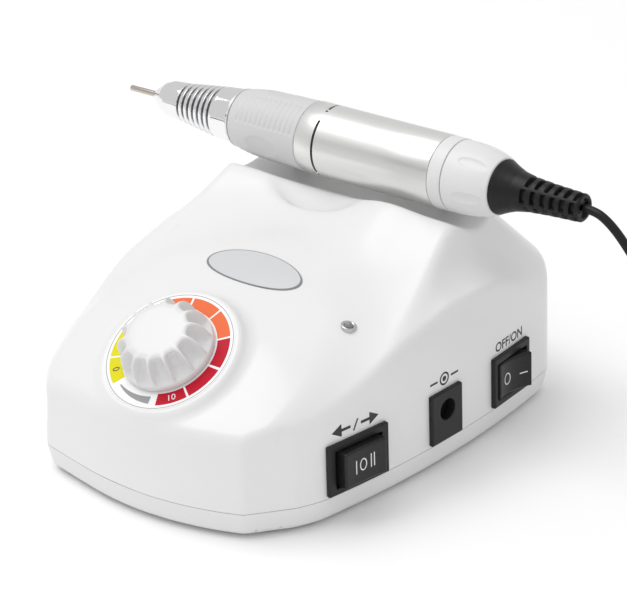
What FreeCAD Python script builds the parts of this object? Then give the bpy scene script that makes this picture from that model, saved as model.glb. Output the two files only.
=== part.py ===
import FreeCAD, Part
import math
import os

import Sketcher

os.makedirs("parts", exist_ok=True)

# Driving dimensions in millimetres and degrees
SIZES = dict(
    # Base unit outline
    base_width=130.4, base_length=168.2, seam_height=10.5, floor_gap=1.2, floor_thickness=2.4,
    shell_wall=2.6, bottom_draft=2.0, side_arc=380.0, side_widest=104.1, front_arc=106.0,
    facet_inset=22.2, facet_back=9.3, corner_back=23.6, corner_inset=10.9, corner_end=34.1,
    rear_corner=14.1, rear_corner_inset=14.0, rear_corner_depth=3.75,
    lip_height=2.0, lip_thickness=1.2, fit_clearance=0.2,
    # Cradle ridge on top of the base
    ridge_top=80.0, ridge_half=50.5, ridge_front=51.1, ridge_rear=26.3,
    ridge_shoulder=66.0, ridge_shoulder_half=55.5, ridge_shoulder_front=75.0,
    ridge_shoulder_rear=24.6, ridge_waist=50.0, ridge_foot=36.0, ridge_foot_front=83.1,
    ridge_waist_rear=12.1, ridge_foot_rear=5.6,
    trough_radius=25.0, scoop_radius=60.0, scoop_offset=-11.0, scoop_front=66.5, scoop_rise=17.0,
    # Speed dial
    dial_back=23.3, dial_height=54.0, dial_slope=31.7, pad_radius=26.0, pad_depth=9.0,
    plate_radius=24.0, plate_thickness=0.5, plate_recess=0.4,
    knob_skirt=17.0, knob_skirt_height=3.0, knob_grip=14.6, knob_crown=12.6, knob_height=13.0,
    knob_gap=0.7, knob_hollow=8.0, knob_hollow_depth=4.0, shaft_radius=3.0, shaft_length=10.5,
    bushing_radius=3.5, nut_radius=6.0, nut_height=2.0, pot_radius=8.5, pot_depth=9.5,
    # Badge and indicator
    badge_back=68.9, badge_height=68.1, badge_slope=8.0, badge_long=20.5, badge_short=8.9,
    badge_thickness=1.0, badge_recess=0.6, led_back=65.1, led_side=45.0, led_height=60.2,
    led_lean=13.0, led_radius=1.5, led_ring_radius=2.3, led_depth=7.0,
    # Right hand control panel
    panel_height=21.2, bezel_height=19.2, bezel_proud=1.6, bezel_chamfer=0.8,
    direction_back=48.0, direction_width=27.7, motor_back=91.9, motor_width=16.4,
    power_back=130.3, power_width=22.7, rocker_height=13.4, direction_rocker=19.0,
    power_rocker=16.0, rocker_proud=5.2, rocker_clearance=1.2, power_proud=4.2,
    power_swing=12.0, power_dip=1.6, direction_dip=0.5,
    switch_depth=14.0, switch_wall=1.2, rocker_pivot_depth=2.0, rocker_root=4.0,
    pivot_radius=1.2, pivot_clearance=0.06, terminal_width=4.8, terminal_thickness=0.8,
    terminal_length=7.0, socket_mouth=3.93, socket_bore=3.25, socket_barrel=6.5,
    socket_depth=18.0, socket_liner=4.3, socket_lift=2.2,
    # Rear mains inlet
    inlet_side=30.0, inlet_height=21.0, inlet_width=22.0, inlet_tall=13.0, inlet_depth=18.0,
    inlet_flange=2.0, inlet_flange_thickness=1.5, inlet_recess_width=15.0,
    inlet_recess_tall=9.0, inlet_recess_depth=13.0, pin_radius=1.2, pin_pitch=8.6, pin_length=9.0,
    # Fasteners, feet and bosses
    foot_radius=6.0, foot_height=3.0, foot_recess=1.8, post_radius=4.0, post_front_side=40.0,
    post_front_back=24.0, post_rear_side=50.0, post_rear_back=18.0, boss_radius=5.0,
    boss_top=13.0, screw_radius=1.5, screw_head=3.0, screw_head_height=2.0, screw_length=16.0,
    pilot_radius=1.3,
    # Electronics inside
    board_length=70.0, board_width=52.0, board_thickness=1.6, board_side=-42.0, board_back=34.0,
    standoff_height=4.5, standoff_radius=3.0, standoff_inset=4.5, board_screw_radius=1.2,
    capacitor_radius=8.0, capacitor_height=25.0, rectifier_length=19.0, rectifier_width=4.6,
    rectifier_height=15.0, relay_length=19.0, relay_width=15.5, relay_height=15.0,
    regulator_width=10.0, regulator_thickness=4.5, regulator_height=15.0,
    sink_length=26.0, sink_depth=9.0, sink_height=24.0, sink_web=3.0, sink_fin=1.2,
    core_length=54.0, core_depth=24.0, core_height=44.0, core_leg=18.0, core_window=9.0,
    core_side=-18.0, core_rear=40.0, core_lift=2.0, winding_clearance=0.25,
    winding_bulge=8.0, strap_thickness=1.2, strap_width=14.0, strap_foot=9.0,
    # Handpiece, stations counted from the tip of the bit towards the tail
    hand_rear=38.7, hand_height=91.0, hand_yaw=1.2, hand_pitch=1.4, hand_seat_gap=0.3,
    bit_tip_to_origin=107.2, bit_radius=1.175, bit_end_radius=1.1, bit_free=10.9, bit_length=42.0,
    bit_clearance=0.03,
    nose_start=12.9, nose_tip_radius=2.7, nose_cone_end=16.9, nose_cone_radius=5.3,
    nose_shoulder=20.3, nose_shoulder_radius=6.75, nose_mouth=2.2,
    groove_start=27.3, groove_pitch=2.63, groove_width=1.1, groove_depth=0.7, groove_radius=7.2,
    band_radius=9.7, band_end_radius=10.5, grip_start=53.4, grip_front_radius=10.7,
    grip_swell_station=58.4, grip_swell_radius=11.6, grip_bulge_station=65.4,
    grip_bulge_radius=12.4, grip_end=86.5, grip_end_radius=12.95,
    barrel_radius=13.2, barrel_wall=1.2, slit_station=94.3, slit_width=0.9, slit_depth=0.8,
    barrel_end=145.4, tail_ring_end=151.1, tail_ring_radius=13.15, tail_cap_end=169.2,
    tail_cap_radius=13.0, tail_cap_mid=161.4, tail_cap_mid_radius=12.5, tail_cap_end_radius=10.4,
    relief_bell_end=176.4, relief_bell_radius=10.0, relief_neck_radius=7.1, relief_waist=181.4,
    relief_waist_radius=6.3, relief_end=203.4, relief_end_radius=4.9, relief_tail=8.0,
    joint_gap=0.3, part_gap=0.1, housing_start=25.4, housing_end=95.0, housing_radius=6.0,
    housing_bore=5.0, spindle_start=17.9, spindle_nose=2.9, spindle_end=93.0, spindle_radius=2.97,
    collet_start=15.9, collet_end=37.4, collet_radius=2.1, bearing_bore=3.0, bearing_width=4.0,
    front_bearing=27.4, rear_bearing=82.5, coupling_end=104.0, coupling_radius=4.6,
    can_start=107.0, can_end=142.0, can_radius=11.8, can_wall=0.8, magnet_thickness=2.4,
    rotor_start=111.0, rotor_end=135.5, rotor_radius=8.1, commutator_end=139.8,
    commutator_radius=3.6, motor_shaft_radius=1.6, motor_shaft_end=143.8, brush_size=2.6,
    # Lead of the handpiece
    cord_diameter=3.2, coil_across=38.4, coil_pitch=3.7, coil_turns=4.25,
    coil_x=182.0, coil_y=80.0, plug_body_length=28.0, plug_boot_length=16.0,
    plug_boot_tip=1.75, plug_boot_root=3.3, plug_pin_length=30.0,
    plug_pin_radius=3.15,
)

doc = FreeCAD.newDocument("nail_drill_machine")
sheet = doc.addObject("Spreadsheet::Sheet", "Sheet")
for row, (alias, number) in enumerate(SIZES.items(), 1):
    sheet.set(f"A{row}", alias)
    sheet.set(f"B{row}", str(number))
    sheet.setAlias(f"B{row}", alias)
doc.recompute()


class Size:
    """A number together with the sheet formula that it comes from."""

    def __init__(self, number, formula):
        self.number = number
        self.formula = formula

    def __float__(self):
        return float(self.number)

    def joined(self, other, sign, number):
        formula = other.formula if isinstance(other, Size) else repr(float(other))
        return Size(number, f"({self.formula} {sign} {formula})")

    def __add__(self, other):
        return self.joined(other, "+", float(self) + float(other))

    def __sub__(self, other):
        return self.joined(other, "-", float(self) - float(other))

    def __mul__(self, other):
        return self.joined(other, "*", float(self) * float(other))

    def __truediv__(self, other):
        return self.joined(other, "/", float(self) / float(other))

    def __neg__(self):
        return Size(-float(self), f"(0 - {self.formula})")


class Sizes:
    """The sheet's cells by name."""

    def __getattr__(self, alias):
        return Size(float(sheet.get(alias)), f"Sheet.{alias}")


S = Sizes()
ZERO = Size(0.0, "0")
NODES = {}


def vector(x, y, z):
    return FreeCAD.Vector(float(x), float(y), float(z))


def spin(axis, degrees):
    return FreeCAD.Rotation(vector(*axis), float(degrees))


def shift(x, y, z):
    return FreeCAD.Placement(vector(x, y, z), FreeCAD.Rotation())


def keep(node, shape, frame):
    """Name a finished sub-part and set it in its place."""
    shape.Label = node
    shape.Placement = frame.multiply(shape.Placement)
    NODES[node] = shape
    return shape


def bind(shape, **sizes):
    for name, size in sizes.items():
        setattr(shape, name, float(size))
        shape.setExpression(name, size.formula)
    return shape


def box(x, y, z, corner=(0, 0, 0), turn=None):
    shape = bind(doc.addObject("Part::Box", "block"), Length=x, Width=y, Height=z)
    shape.Placement = FreeCAD.Placement(vector(*corner), turn or FreeCAD.Rotation())
    return shape


def rod(radius, height, foot=(0, 0, 0), turn=None):
    shape = bind(doc.addObject("Part::Cylinder", "rod"), Radius=radius, Height=height)
    shape.Placement = FreeCAD.Placement(vector(*foot), turn or FreeCAD.Rotation())
    return shape


def fuse(*shapes):
    result = doc.addObject("Part::MultiFuse", "joined")
    result.Shapes = list(shapes)
    return result


def cut(base, *tools):
    result = doc.addObject("Part::Cut", "carved")
    result.Base = base
    result.Tool = tools[0] if len(tools) == 1 else fuse(*tools)
    return result


def common(first, second):
    result = doc.addObject("Part::Common", "shared")
    result.Base = first
    result.Tool = second
    return result


def group(*shapes):
    result = doc.addObject("Part::Compound", "group")
    result.Links = list(shapes)
    return result


def solid(shape):
    """A free form that no primitive or feature describes."""
    feature = doc.addObject("Part::Feature", "form")
    feature.Shape = shape
    return feature


def copy_at(shape, frame):
    """A second piece of the same make, moved by frame."""
    doc.recompute()
    feature = solid(shape.Shape.copy())
    feature.Placement = frame.multiply(shape.Placement)
    return feature


def sketch_on(body, role, outline):
    """A closed polygon whose corners are all bound to the sheet."""
    sketch = body.newObject("Sketcher::SketchObject", body.Name + "_outline")
    plane = next(item for item in body.Origin.OriginFeatures if item.Role == role)
    sketch.AttachmentSupport = [(plane, "")]
    sketch.MapMode = "FlatFace"
    corners = [vector(across, up, 0) for across, up in outline]
    count = len(corners)
    for i in range(count):
        sketch.addGeometry(Part.LineSegment(corners[i], corners[(i + 1) % count]), False)
    for i in range(count):
        sketch.addConstraint(Sketcher.Constraint("Coincident", i, 2, (i + 1) % count, 1))
    for i, (across, up) in enumerate(outline):
        for kind, axis, size in (("DistanceX", -2, across), ("DistanceY", -1, up)):
            if float(size) == 0:
                sketch.addConstraint(Sketcher.Constraint("PointOnObject", i, 1, axis))
            else:
                limit = Sketcher.Constraint(kind, -1, 1, i, 1, float(size))
                index = sketch.addConstraint(limit)
                sketch.setExpression(f"Constraints[{index}]", size.formula)
    return sketch


def turned(outline):
    """A body of revolution about its own X axis, from (station, radius) corners."""
    body = doc.addObject("PartDesign::Body", "turned")
    sketch = sketch_on(body, "XZ_Plane", outline)
    turn = body.newObject("PartDesign::Revolution", body.Name + "_turn")
    turn.Profile = sketch
    turn.ReferenceAxis = (sketch, ["H_Axis"])
    turn.Angle = 360
    return body


def prism(outline, height):
    """A body padded up both ways from its own XY plane."""
    body = doc.addObject("PartDesign::Body", "prism")
    pad = body.newObject("PartDesign::Pad", body.Name + "_pad")
    pad.Profile = sketch_on(body, "XY_Plane", outline)
    pad.Midplane = True
    bind(pad, Length=height)
    return body


# Frames
HALF_LENGTH = S.base_length / 2
HALF_WIDTH = S.base_width / 2
FRONT = -float(HALF_LENGTH)
REAR = float(HALF_LENGTH)
SIDE_CENTRE_X = float(HALF_WIDTH) - float(S.side_arc)
SIDE_CENTRE_Y = FRONT + float(S.side_widest)
HAND_TURN = spin((0, 0, 1), S.hand_yaw).multiply(spin((0, 1, 0), -S.hand_pitch))
HAND_AXIS = HAND_TURN.multVec(vector(1, 0, 0))
HAND_TILT = math.sqrt(1 - HAND_AXIS.x ** 2)
TIP_X = -float(S.bit_tip_to_origin) * HAND_AXIS.x - float(S.bit_end_radius) * HAND_TILT
TAIL_X = (float(S.relief_end - S.bit_tip_to_origin) * HAND_AXIS.x
          + float(S.relief_end_radius) * HAND_TILT)
BASE = shift(-(TIP_X + TAIL_X) / 2, 0, 0)
HAND = BASE.multiply(FreeCAD.Placement(vector(0, REAR - float(S.hand_rear), S.hand_height), HAND_TURN))
TURNED = HAND.multiply(shift(-S.bit_tip_to_origin, 0, 0))
DIAL = FreeCAD.Placement(
    vector(0, FRONT + float(S.dial_back), S.dial_height), spin((1, 0, 0), S.dial_slope))
BADGE = FreeCAD.Placement(
    vector(0, FRONT + float(S.badge_back), S.badge_height), spin((1, 0, 0), S.badge_slope))
LED = FreeCAD.Placement(
    vector(S.led_side, FRONT + float(S.led_back), S.led_height), spin((0, 1, 0), S.led_lean))


def wall_x(y):
    """Half the width of the side wall at y."""
    return SIDE_CENTRE_X + math.sqrt(float(S.side_arc) ** 2 - (y - SIDE_CENTRE_Y) ** 2)


def panel_frame(back):
    """On the right wall, X outwards, Y to the rear along the wall, Z up."""
    y = FRONT + float(back)
    swing = math.degrees(math.asin((y - SIDE_CENTRE_Y) / float(S.side_arc)))
    return FreeCAD.Placement(vector(wall_x(y), y, S.panel_height), spin((0, 0, 1), swing))


DIRECTION = panel_frame(S.direction_back)
MOTOR = panel_frame(S.motor_back)
POWER = panel_frame(S.power_back)
REAR_RADIUS_Y = REAR - float(S.rear_corner_depth)
REAR_RADIUS_X = float(HALF_WIDTH) - float(S.rear_corner_inset)
REAR_ARC = (REAR_RADIUS_X ** 2 + float(S.rear_corner_depth) ** 2) / 2 / float(S.rear_corner_depth)
INLET_LEAN = math.degrees(math.asin(float(S.inlet_side) / REAR_ARC))
INLET_Y = REAR - REAR_ARC + math.sqrt(REAR_ARC ** 2 - float(S.inlet_side) ** 2)
INLET = FreeCAD.Placement(
    vector(S.inlet_side, INLET_Y, S.inlet_height), spin((0, 0, 1), -INLET_LEAN))


# Shell forms
def plan_wire(height):
    """The outline of the base seen from above."""
    arc = float(S.front_arc)
    facet_x = float(HALF_WIDTH - S.facet_inset)
    front_y = FRONT + arc - math.sqrt(arc ** 2 - facet_x ** 2)
    corner = (float(HALF_WIDTH - S.corner_inset), FRONT + float(S.corner_back))
    side_start = FRONT + float(S.corner_end)
    side_end = REAR - float(S.rear_corner)
    rear_corner = (REAR_RADIUS_X, REAR_RADIUS_Y)
    bulge = 0.35

    def middle(a, b, out):
        length = math.dist(a, b)
        across = ((b[1] - a[1]) / length, (a[0] - b[0]) / length)
        return ((a[0] + b[0]) / 2 + out * across[0], (a[1] + b[1]) / 2 + out * across[1])

    facet = (facet_x, front_y)
    side_a = (wall_x(side_start), side_start)
    side_m = (wall_x((side_start + side_end) / 2), (side_start + side_end) / 2)
    side_b = (wall_x(side_end), side_end)
    corner_mid = middle(corner, side_a, bulge)
    rear_mid = middle(side_b, rear_corner, (side_b[0] - rear_corner[0]) * 0.29)

    def arc_edge(a, m, b, side):
        return Part.Arc(*(vector(side * p[0], p[1], height) for p in (a, m, b))).toShape()

    def half(side):
        line = Part.LineSegment(vector(side * facet[0], facet[1], height),
                                vector(side * corner[0], corner[1], height)).toShape()
        return [line, arc_edge(corner, corner_mid, side_a, side), arc_edge(side_a, side_m, side_b, side),
                arc_edge(side_b, rear_mid, rear_corner, side)]

    front = arc_edge((-facet[0], facet[1]), (0, FRONT), facet, 1)
    back = arc_edge(rear_corner, (0, REAR), (-rear_corner[0], rear_corner[1]), 1)
    return Part.Wire([front] + half(1) + [back] + half(-1)[::-1])


def plan_prism(low, high, inset=0.0):
    wire = plan_wire(low)
    if inset:
        wire = wire.makeOffset2D(-inset)
    return Part.Face(wire).extrude(vector(0, 0, high - low))


# Cross sections of the top: place, centre height, shoulder inset, shoulder height, crease height.
# The front five are counted from the front edge and the rear five from the rear edge.
FRONT_SECTIONS = (
    (-2.0, 38.0, 9.0, 28.0, 15.0),
    (6.1, 43.5, 6.4, 34.0, 21.0),
    (17.1, 48.8, 5.6, 40.5, 30.0),
    (35.1, 60.0, 5.8, 47.5, 40.0),
    (69.1, 68.1, 9.2, 58.5, 54.0),
    (97.1, 71.4, 10.6, 64.0, 62.5),
)
REAR_SECTIONS = (
    (44.1, 72.0, 10.6, 63.0, 61.0),
    (22.1, 68.0, 9.4, 58.0, 53.0),
    (10.1, 57.0, 11.0, 48.5, 42.5),
    (-2.0, 42.0, 13.0, 36.0, 30.0),
)
BELOW_SEAM = 4.0
BEYOND_WALL = 2.5
SKY = 120.0


def section_wire(y, centre, shoulder_inset, shoulder, crease, inset):
    half = wall_x(y) + BEYOND_WALL - inset
    crease -= (shoulder - crease) / shoulder_inset * BEYOND_WALL
    shoulder_x = wall_x(y) - shoulder_inset - 0.4 * inset
    foot = float(S.seam_height) - BELOW_SEAM
    points = [vector(-half, y, foot), vector(half, y, foot), vector(half, y, crease - 0.6 * inset),
              vector(shoulder_x, y, shoulder - inset)]
    left = [vector(-point.x, y, point.z) for point in (points[3], points[2])]
    crown = Part.Arc(points[3], vector(0, y, centre - inset), left[0]).toShape()
    lines = [Part.LineSegment(points[i], points[i + 1]).toShape() for i in range(3)]
    closing = [Part.LineSegment(left[0], left[1]).toShape(),
               Part.LineSegment(left[1], points[0]).toShape()]
    return Part.Wire(lines + [crown] + closing)


def hull(inset):
    """The crowned top, without the cradle and the dial pad."""
    wires = []
    for back, *heights in FRONT_SECTIONS:
        wires.append(section_wire(FRONT + back, *heights, inset))
    for ahead, *heights in REAR_SECTIONS:
        wires.append(section_wire(REAR - ahead, *heights, inset))
    return Part.makeLoft(wires, True, False)


def ridge(inset):
    """The block that carries the cradle."""
    def ring(half, front, rear, height):
        low_y = REAR - float(front) + inset
        high_y = REAR - float(rear) - inset
        side = float(half) - inset
        top = float(height) - inset
        corners = [vector(-side, low_y, top), vector(side, low_y, top),
                   vector(side, high_y, top), vector(-side, high_y, top)]
        return Part.makePolygon(corners + corners[:1])

    rings = [ring(S.ridge_shoulder_half, S.ridge_foot_front, S.ridge_foot_rear, S.ridge_foot),
             ring(S.ridge_shoulder_half, S.ridge_foot_front, S.ridge_waist_rear, S.ridge_waist),
             ring(S.ridge_shoulder_half, S.ridge_shoulder_front, S.ridge_shoulder_rear, S.ridge_shoulder),
             ring(S.ridge_half, S.ridge_front, S.ridge_rear, S.ridge_top)]
    return Part.makeLoft(rings, True, True)


HAND_LOCAL = BASE.inverse().multiply(HAND)
HALF_TROUGH = 80.0


def trough(grow):
    """The round channel that the handpiece lies in."""
    lift = float(S.trough_radius - S.barrel_radius - S.hand_seat_gap)
    shape = Part.makeCylinder(float(S.trough_radius) + grow, 2 * HALF_TROUGH)
    shape.Placement = HAND_LOCAL.multiply(
        FreeCAD.Placement(vector(-HALF_TROUGH, 0, lift), spin((0, 1, 0), 90)))
    return shape


def scoop(grow):
    """The shallow finger scoop in front of the cradle, rising towards the handpiece."""
    front_y = REAR - float(S.ridge_foot_front)
    rear_y = REAR - float(S.hand_rear) + 4.0
    lean = math.degrees(math.atan2(float(S.scoop_rise), rear_y - front_y))
    shape = Part.makeCylinder(float(S.scoop_radius) + grow, rear_y - front_y + grow)
    foot = vector(S.scoop_offset, front_y, S.scoop_front + S.scoop_radius)
    shape.Placement = FreeCAD.Placement(foot, spin((1, 0, 0), -90 + lean))
    return shape


SEAM = float(S.seam_height)
WALL = float(S.shell_wall)
CLEAR = float(S.fit_clearance)
FLOOR = float(S.floor_gap)
FLOOR_TOP = FLOOR + float(S.floor_thickness)
POSTS = [(side * float(x), y) for x, y in (
    (S.post_front_side, FRONT + float(S.post_front_back)),
    (S.post_rear_side, REAR - float(S.post_rear_back))) for side in (-1, 1)]

pad = Part.makeCylinder(float(S.pad_radius), float(S.pad_depth))
pad.Placement = DIAL.multiply(shift(0, 0, -S.pad_depth))
outer = hull(0).common(plan_prism(SEAM, SKY))
outer = outer.fuse([ridge(0).common(plan_prism(SEAM, SKY)), pad]).cut([trough(0), scoop(0)])
inner = hull(WALL).fuse(ridge(WALL)).common(plan_prism(SEAM - BELOW_SEAM, SKY, WALL))
inner = inner.cut([trough(WALL), scoop(WALL)])
outer_form = solid(outer)
cavity = solid(inner)
post_rods = [common(rod(S.post_radius, S.ridge_top, (x, y, S.boss_top)), outer_form) for x, y in POSTS]


def at_frame(shape, frame):
    shape.Placement = frame.multiply(shape.Placement)
    return shape


def opening(depth, width, tall):
    """A rectangular hole through the right wall, centred on its own frame."""
    return box(depth, width, tall, (-depth / 2, -width / 2, -tall / 2))


TWO_CLEAR = S.fit_clearance * 2
HOLE_DEPTH = S.shell_wall * 6
housing_width = S.direction_rocker + (S.rocker_clearance + S.switch_wall) * 2
power_housing = S.power_rocker + (S.rocker_clearance + S.switch_wall) * 2
housing_tall = S.rocker_height + (S.rocker_clearance * 0.3 + S.switch_wall) * 2
shell_cuts = [
    at_frame(opening(HOLE_DEPTH, housing_width + TWO_CLEAR, housing_tall + TWO_CLEAR), DIRECTION),
    at_frame(opening(HOLE_DEPTH, power_housing + TWO_CLEAR, housing_tall + TWO_CLEAR), POWER),
    at_frame(rod(S.socket_barrel + S.fit_clearance, HOLE_DEPTH, (-HOLE_DEPTH / 2, 0, S.socket_lift),
                 spin((0, 1, 0), 90)), MOTOR),
    at_frame(opening(S.inlet_width + TWO_CLEAR, HOLE_DEPTH, S.inlet_tall + TWO_CLEAR), INLET),
    at_frame(box(S.inlet_width + (S.inlet_flange + S.fit_clearance) * 2, S.inlet_depth,
                 S.inlet_tall + (S.inlet_flange + S.fit_clearance) * 2,
                 (-S.inlet_width / 2 - S.inlet_flange - S.fit_clearance, -S.inlet_flange_thickness,
                  -S.inlet_tall / 2 - S.inlet_flange - S.fit_clearance)), INLET),
    at_frame(rod(S.bushing_radius + S.fit_clearance, S.pad_depth * 3, (0, 0, -S.pad_depth * 2)), DIAL),
    at_frame(rod(S.plate_radius + S.fit_clearance, S.pad_depth, (0, 0, -S.plate_recess)), DIAL),
    at_frame(rod(S.led_ring_radius + S.fit_clearance / 2, S.led_depth * 2, (0, 0, -S.led_depth)), LED),
]
badge_seat = doc.addObject("Part::Ellipse", "badge_outline")
bind(badge_seat, MajorRadius=S.badge_long + S.fit_clearance, MinorRadius=S.badge_short + S.fit_clearance)
badge_hole = doc.addObject("Part::Extrusion", "badge_recess")
badge_hole.Base = badge_seat
badge_hole.DirMode = "Custom"
badge_hole.Dir = vector(0, 0, 1)
badge_hole.Solid = True
bind(badge_hole, LengthFwd=S.badge_recess * 6)
badge_hole.Placement = BADGE.multiply(shift(0, 0, -S.badge_recess))
shell_cuts.append(badge_hole)
for x, y in POSTS:
    shell_cuts.append(rod(S.pilot_radius, S.screw_length, (x, y, S.boss_top)))
upper_shell = cut(fuse(cut(outer_form, cavity), *post_rods), *shell_cuts)
keep("upper_shell", upper_shell, BASE)

# Lower shell with its lip, bosses, standoffs and screw wells
bottom_wire = plan_wire(FLOOR).makeOffset2D(-float(S.bottom_draft))
tray = Part.makeLoft([bottom_wire, plan_wire(SEAM)], True, True)
lip_out = WALL + CLEAR
lip = plan_prism(FLOOR_TOP, SEAM + float(S.lip_height), lip_out).cut(
    plan_prism(FLOOR_TOP, SKY, lip_out + float(S.lip_thickness)))
tray = tray.cut(plan_prism(FLOOR_TOP, SKY, lip_out)).fuse(lip)
tray_form = solid(tray)
BOARD_Y = FRONT + float(S.board_back)
CORE_Y = REAR - float(S.core_rear)
board_holes = [(float(S.board_side) + x, BOARD_Y + y)
               for x in (float(S.standoff_inset), float(S.board_length - S.standoff_inset))
               for y in (float(S.standoff_inset), float(S.board_width - S.standoff_inset))]
strap_x = float(S.core_length) / 2 + float(S.strap_foot) * 0.55
strap_holes = [(float(S.core_side) + side * strap_x, CORE_Y) for side in (-1, 1)]
well_top = S.boss_top - S.fit_clearance
tray_adds = [rod(S.boss_radius, well_top - FLOOR_TOP, (x, y, FLOOR_TOP)) for x, y in POSTS]
tray_adds += [rod(S.standoff_radius, S.standoff_height, (x, y, FLOOR_TOP)) for x, y in board_holes]
core_seat = box(S.core_length, S.core_depth, S.core_lift,
                (S.core_side - S.core_length / 2, CORE_Y - float(S.core_depth) / 2, FLOOR_TOP))
tray_adds.append(core_seat)
tray_adds += [rod(S.standoff_radius, S.core_lift, (x, y, FLOOR_TOP)) for x, y in strap_holes]
screw_seat = S.boss_top - S.screw_length / 2
tray_cuts = [rod(S.screw_radius + S.fit_clearance, S.ridge_top, (x, y, 0)) for x, y in POSTS]
tray_cuts += [rod(S.screw_head + S.fit_clearance, screw_seat, (x, y, 0)) for x, y in POSTS]
tray_cuts += [rod(S.board_screw_radius, S.standoff_height, (x, y, FLOOR_TOP + 0.3)) for x, y in board_holes]
tray_cuts += [rod(S.board_screw_radius, S.core_lift + 1.5, (x, y, FLOOR_TOP - 1.5)) for x, y in strap_holes]
FEET = [(side * x, y) for x, y in ((38.0, FRONT + 40.0), (44.0, REAR - 34.0)) for side in (-1, 1)]
tray_cuts += [rod(S.foot_radius + S.fit_clearance, S.foot_recess, (x, y, FLOOR)) for x, y in FEET]
VENTS = 7
VENT_PITCH = 6.0
VENT_START = 5.0
vent_width = S.screw_radius
for i in range(VENTS):
    vent_x = 14.0 + i * VENT_PITCH
    tray_cuts.append(box(vent_width, S.strap_width * 2, S.floor_thickness * 2, (vent_x, VENT_START, 0)))
keep("lower_shell", cut(fuse(tray_form, *tray_adds), *tray_cuts), BASE)


def screw(radius, head_radius, head_height, length):
    """A screw that stands head down at the origin."""
    return fuse(rod(head_radius, head_height), rod(radius, length))


def screws_at(points, z, flip, radius, head_radius, head_height, length):
    pieces = []
    for x, y in points:
        piece = screw(radius, head_radius, head_height, length)
        turn = spin((1, 0, 0), 180 if flip else 0)
        piece.Placement = FreeCAD.Placement(vector(x, y, z), turn)
        pieces.append(piece)
    return group(*pieces)


keep("shell_screws", screws_at(POSTS, screw_seat - S.screw_head_height, False, S.pilot_radius,
                               S.screw_head, S.screw_head_height, S.screw_length), BASE)
keep("rubber_feet", group(*(rod(S.foot_radius, S.foot_height, (x, y, 0)) for x, y in FEET)), BASE)

# Speed dial
DIAL_SET = BASE.multiply(DIAL)
plate = cut(rod(S.plate_radius, S.plate_thickness), rod(S.nut_radius + S.fit_clearance, S.pad_depth))
keep("dial_plate", plate, DIAL_SET.multiply(shift(0, 0, -S.plate_recess)))
knob = turned([
    (S.knob_gap, S.knob_hollow), (S.knob_gap, S.knob_skirt),
    (S.knob_skirt_height, S.knob_skirt - 0.4), (S.knob_skirt_height + 0.6, S.knob_grip),
    (S.knob_height - 1.4, S.knob_crown), (S.knob_height, S.knob_crown - 2.0), (S.knob_height, ZERO),
    (S.shaft_length + S.part_gap, ZERO), (S.shaft_length + S.part_gap, S.shaft_radius + 0.05),
    (S.knob_hollow_depth, S.shaft_radius + 0.05), (S.knob_hollow_depth, S.knob_hollow),
])
UPRIGHT = FreeCAD.Placement(vector(0, 0, 0), spin((0, 1, 0), -90))
keep("speed_knob", knob, DIAL_SET.multiply(UPRIGHT))
POT_TOP = -(S.pad_depth + S.part_gap)
stem = S.shaft_radius - 0.4
shaft = turned([
    (POT_TOP + 1.0, ZERO), (POT_TOP + 1.0, stem), (S.knob_hollow_depth - 1.0, stem),
    (S.knob_hollow_depth, S.shaft_radius), (S.shaft_length, S.shaft_radius), (S.shaft_length, ZERO),
])
keep("potentiometer_shaft", shaft, DIAL_SET.multiply(UPRIGHT))
pot = cut(fuse(rod(S.pot_radius, S.pot_depth, (0, 0, POT_TOP - S.pot_depth)),
               rod(S.bushing_radius, -POT_TOP + S.nut_height + 0.6, (0, 0, POT_TOP)),
               box(S.pot_radius * 2, S.pot_radius + 3.0, S.terminal_thickness * 2,
                   (-S.pot_radius, -S.pot_radius - 3.0, POT_TOP - S.pot_depth))),
          rod(stem + 0.07, -POT_TOP * 3, (0, 0, POT_TOP + 1.0 - S.part_gap)))
keep("potentiometer_body", pot, DIAL_SET)
nut = cut(bind(doc.addObject("Part::Prism", "hexagon"), Circumradius=S.nut_radius, Height=S.nut_height),
          rod(S.bushing_radius + 0.02, S.nut_height * 3, (0, 0, -S.nut_height)))
keep("potentiometer_nut", nut, DIAL_SET.multiply(shift(0, 0, 0.02)))

# Badge and indicator
badge_edge = doc.addObject("Part::Ellipse", "badge_edge")
bind(badge_edge, MajorRadius=S.badge_long, MinorRadius=S.badge_short)
badge = doc.addObject("Part::Extrusion", "badge")
badge.Base = badge_edge
badge.DirMode = "Custom"
badge.Dir = vector(0, 0, 1)
badge.Solid = True
bind(badge, LengthFwd=S.badge_thickness)
keep("badge_plate", badge, BASE.multiply(BADGE).multiply(shift(0, 0, -S.badge_recess)))
LED_SET = BASE.multiply(LED)
led = fuse(rod(S.led_radius, S.led_depth + 0.3, (0, 0, -S.led_depth)))
led.Shapes = led.Shapes + [bind(doc.addObject("Part::Sphere", "dome"), Radius=S.led_radius)]
keep("led_lens", led, LED_SET)
holder = cut(fuse(rod(S.led_ring_radius, S.led_depth + 0.2, (0, 0, -S.led_depth)),
                  rod(S.led_ring_radius + 0.5, S.led_depth / 4, (0, 0, -S.led_depth - 0.2))),
             rod(S.led_radius + 0.05, S.led_depth * 3, (0, 0, -S.led_depth * 1.5)))
keep("led_holder", holder, LED_SET)


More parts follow.
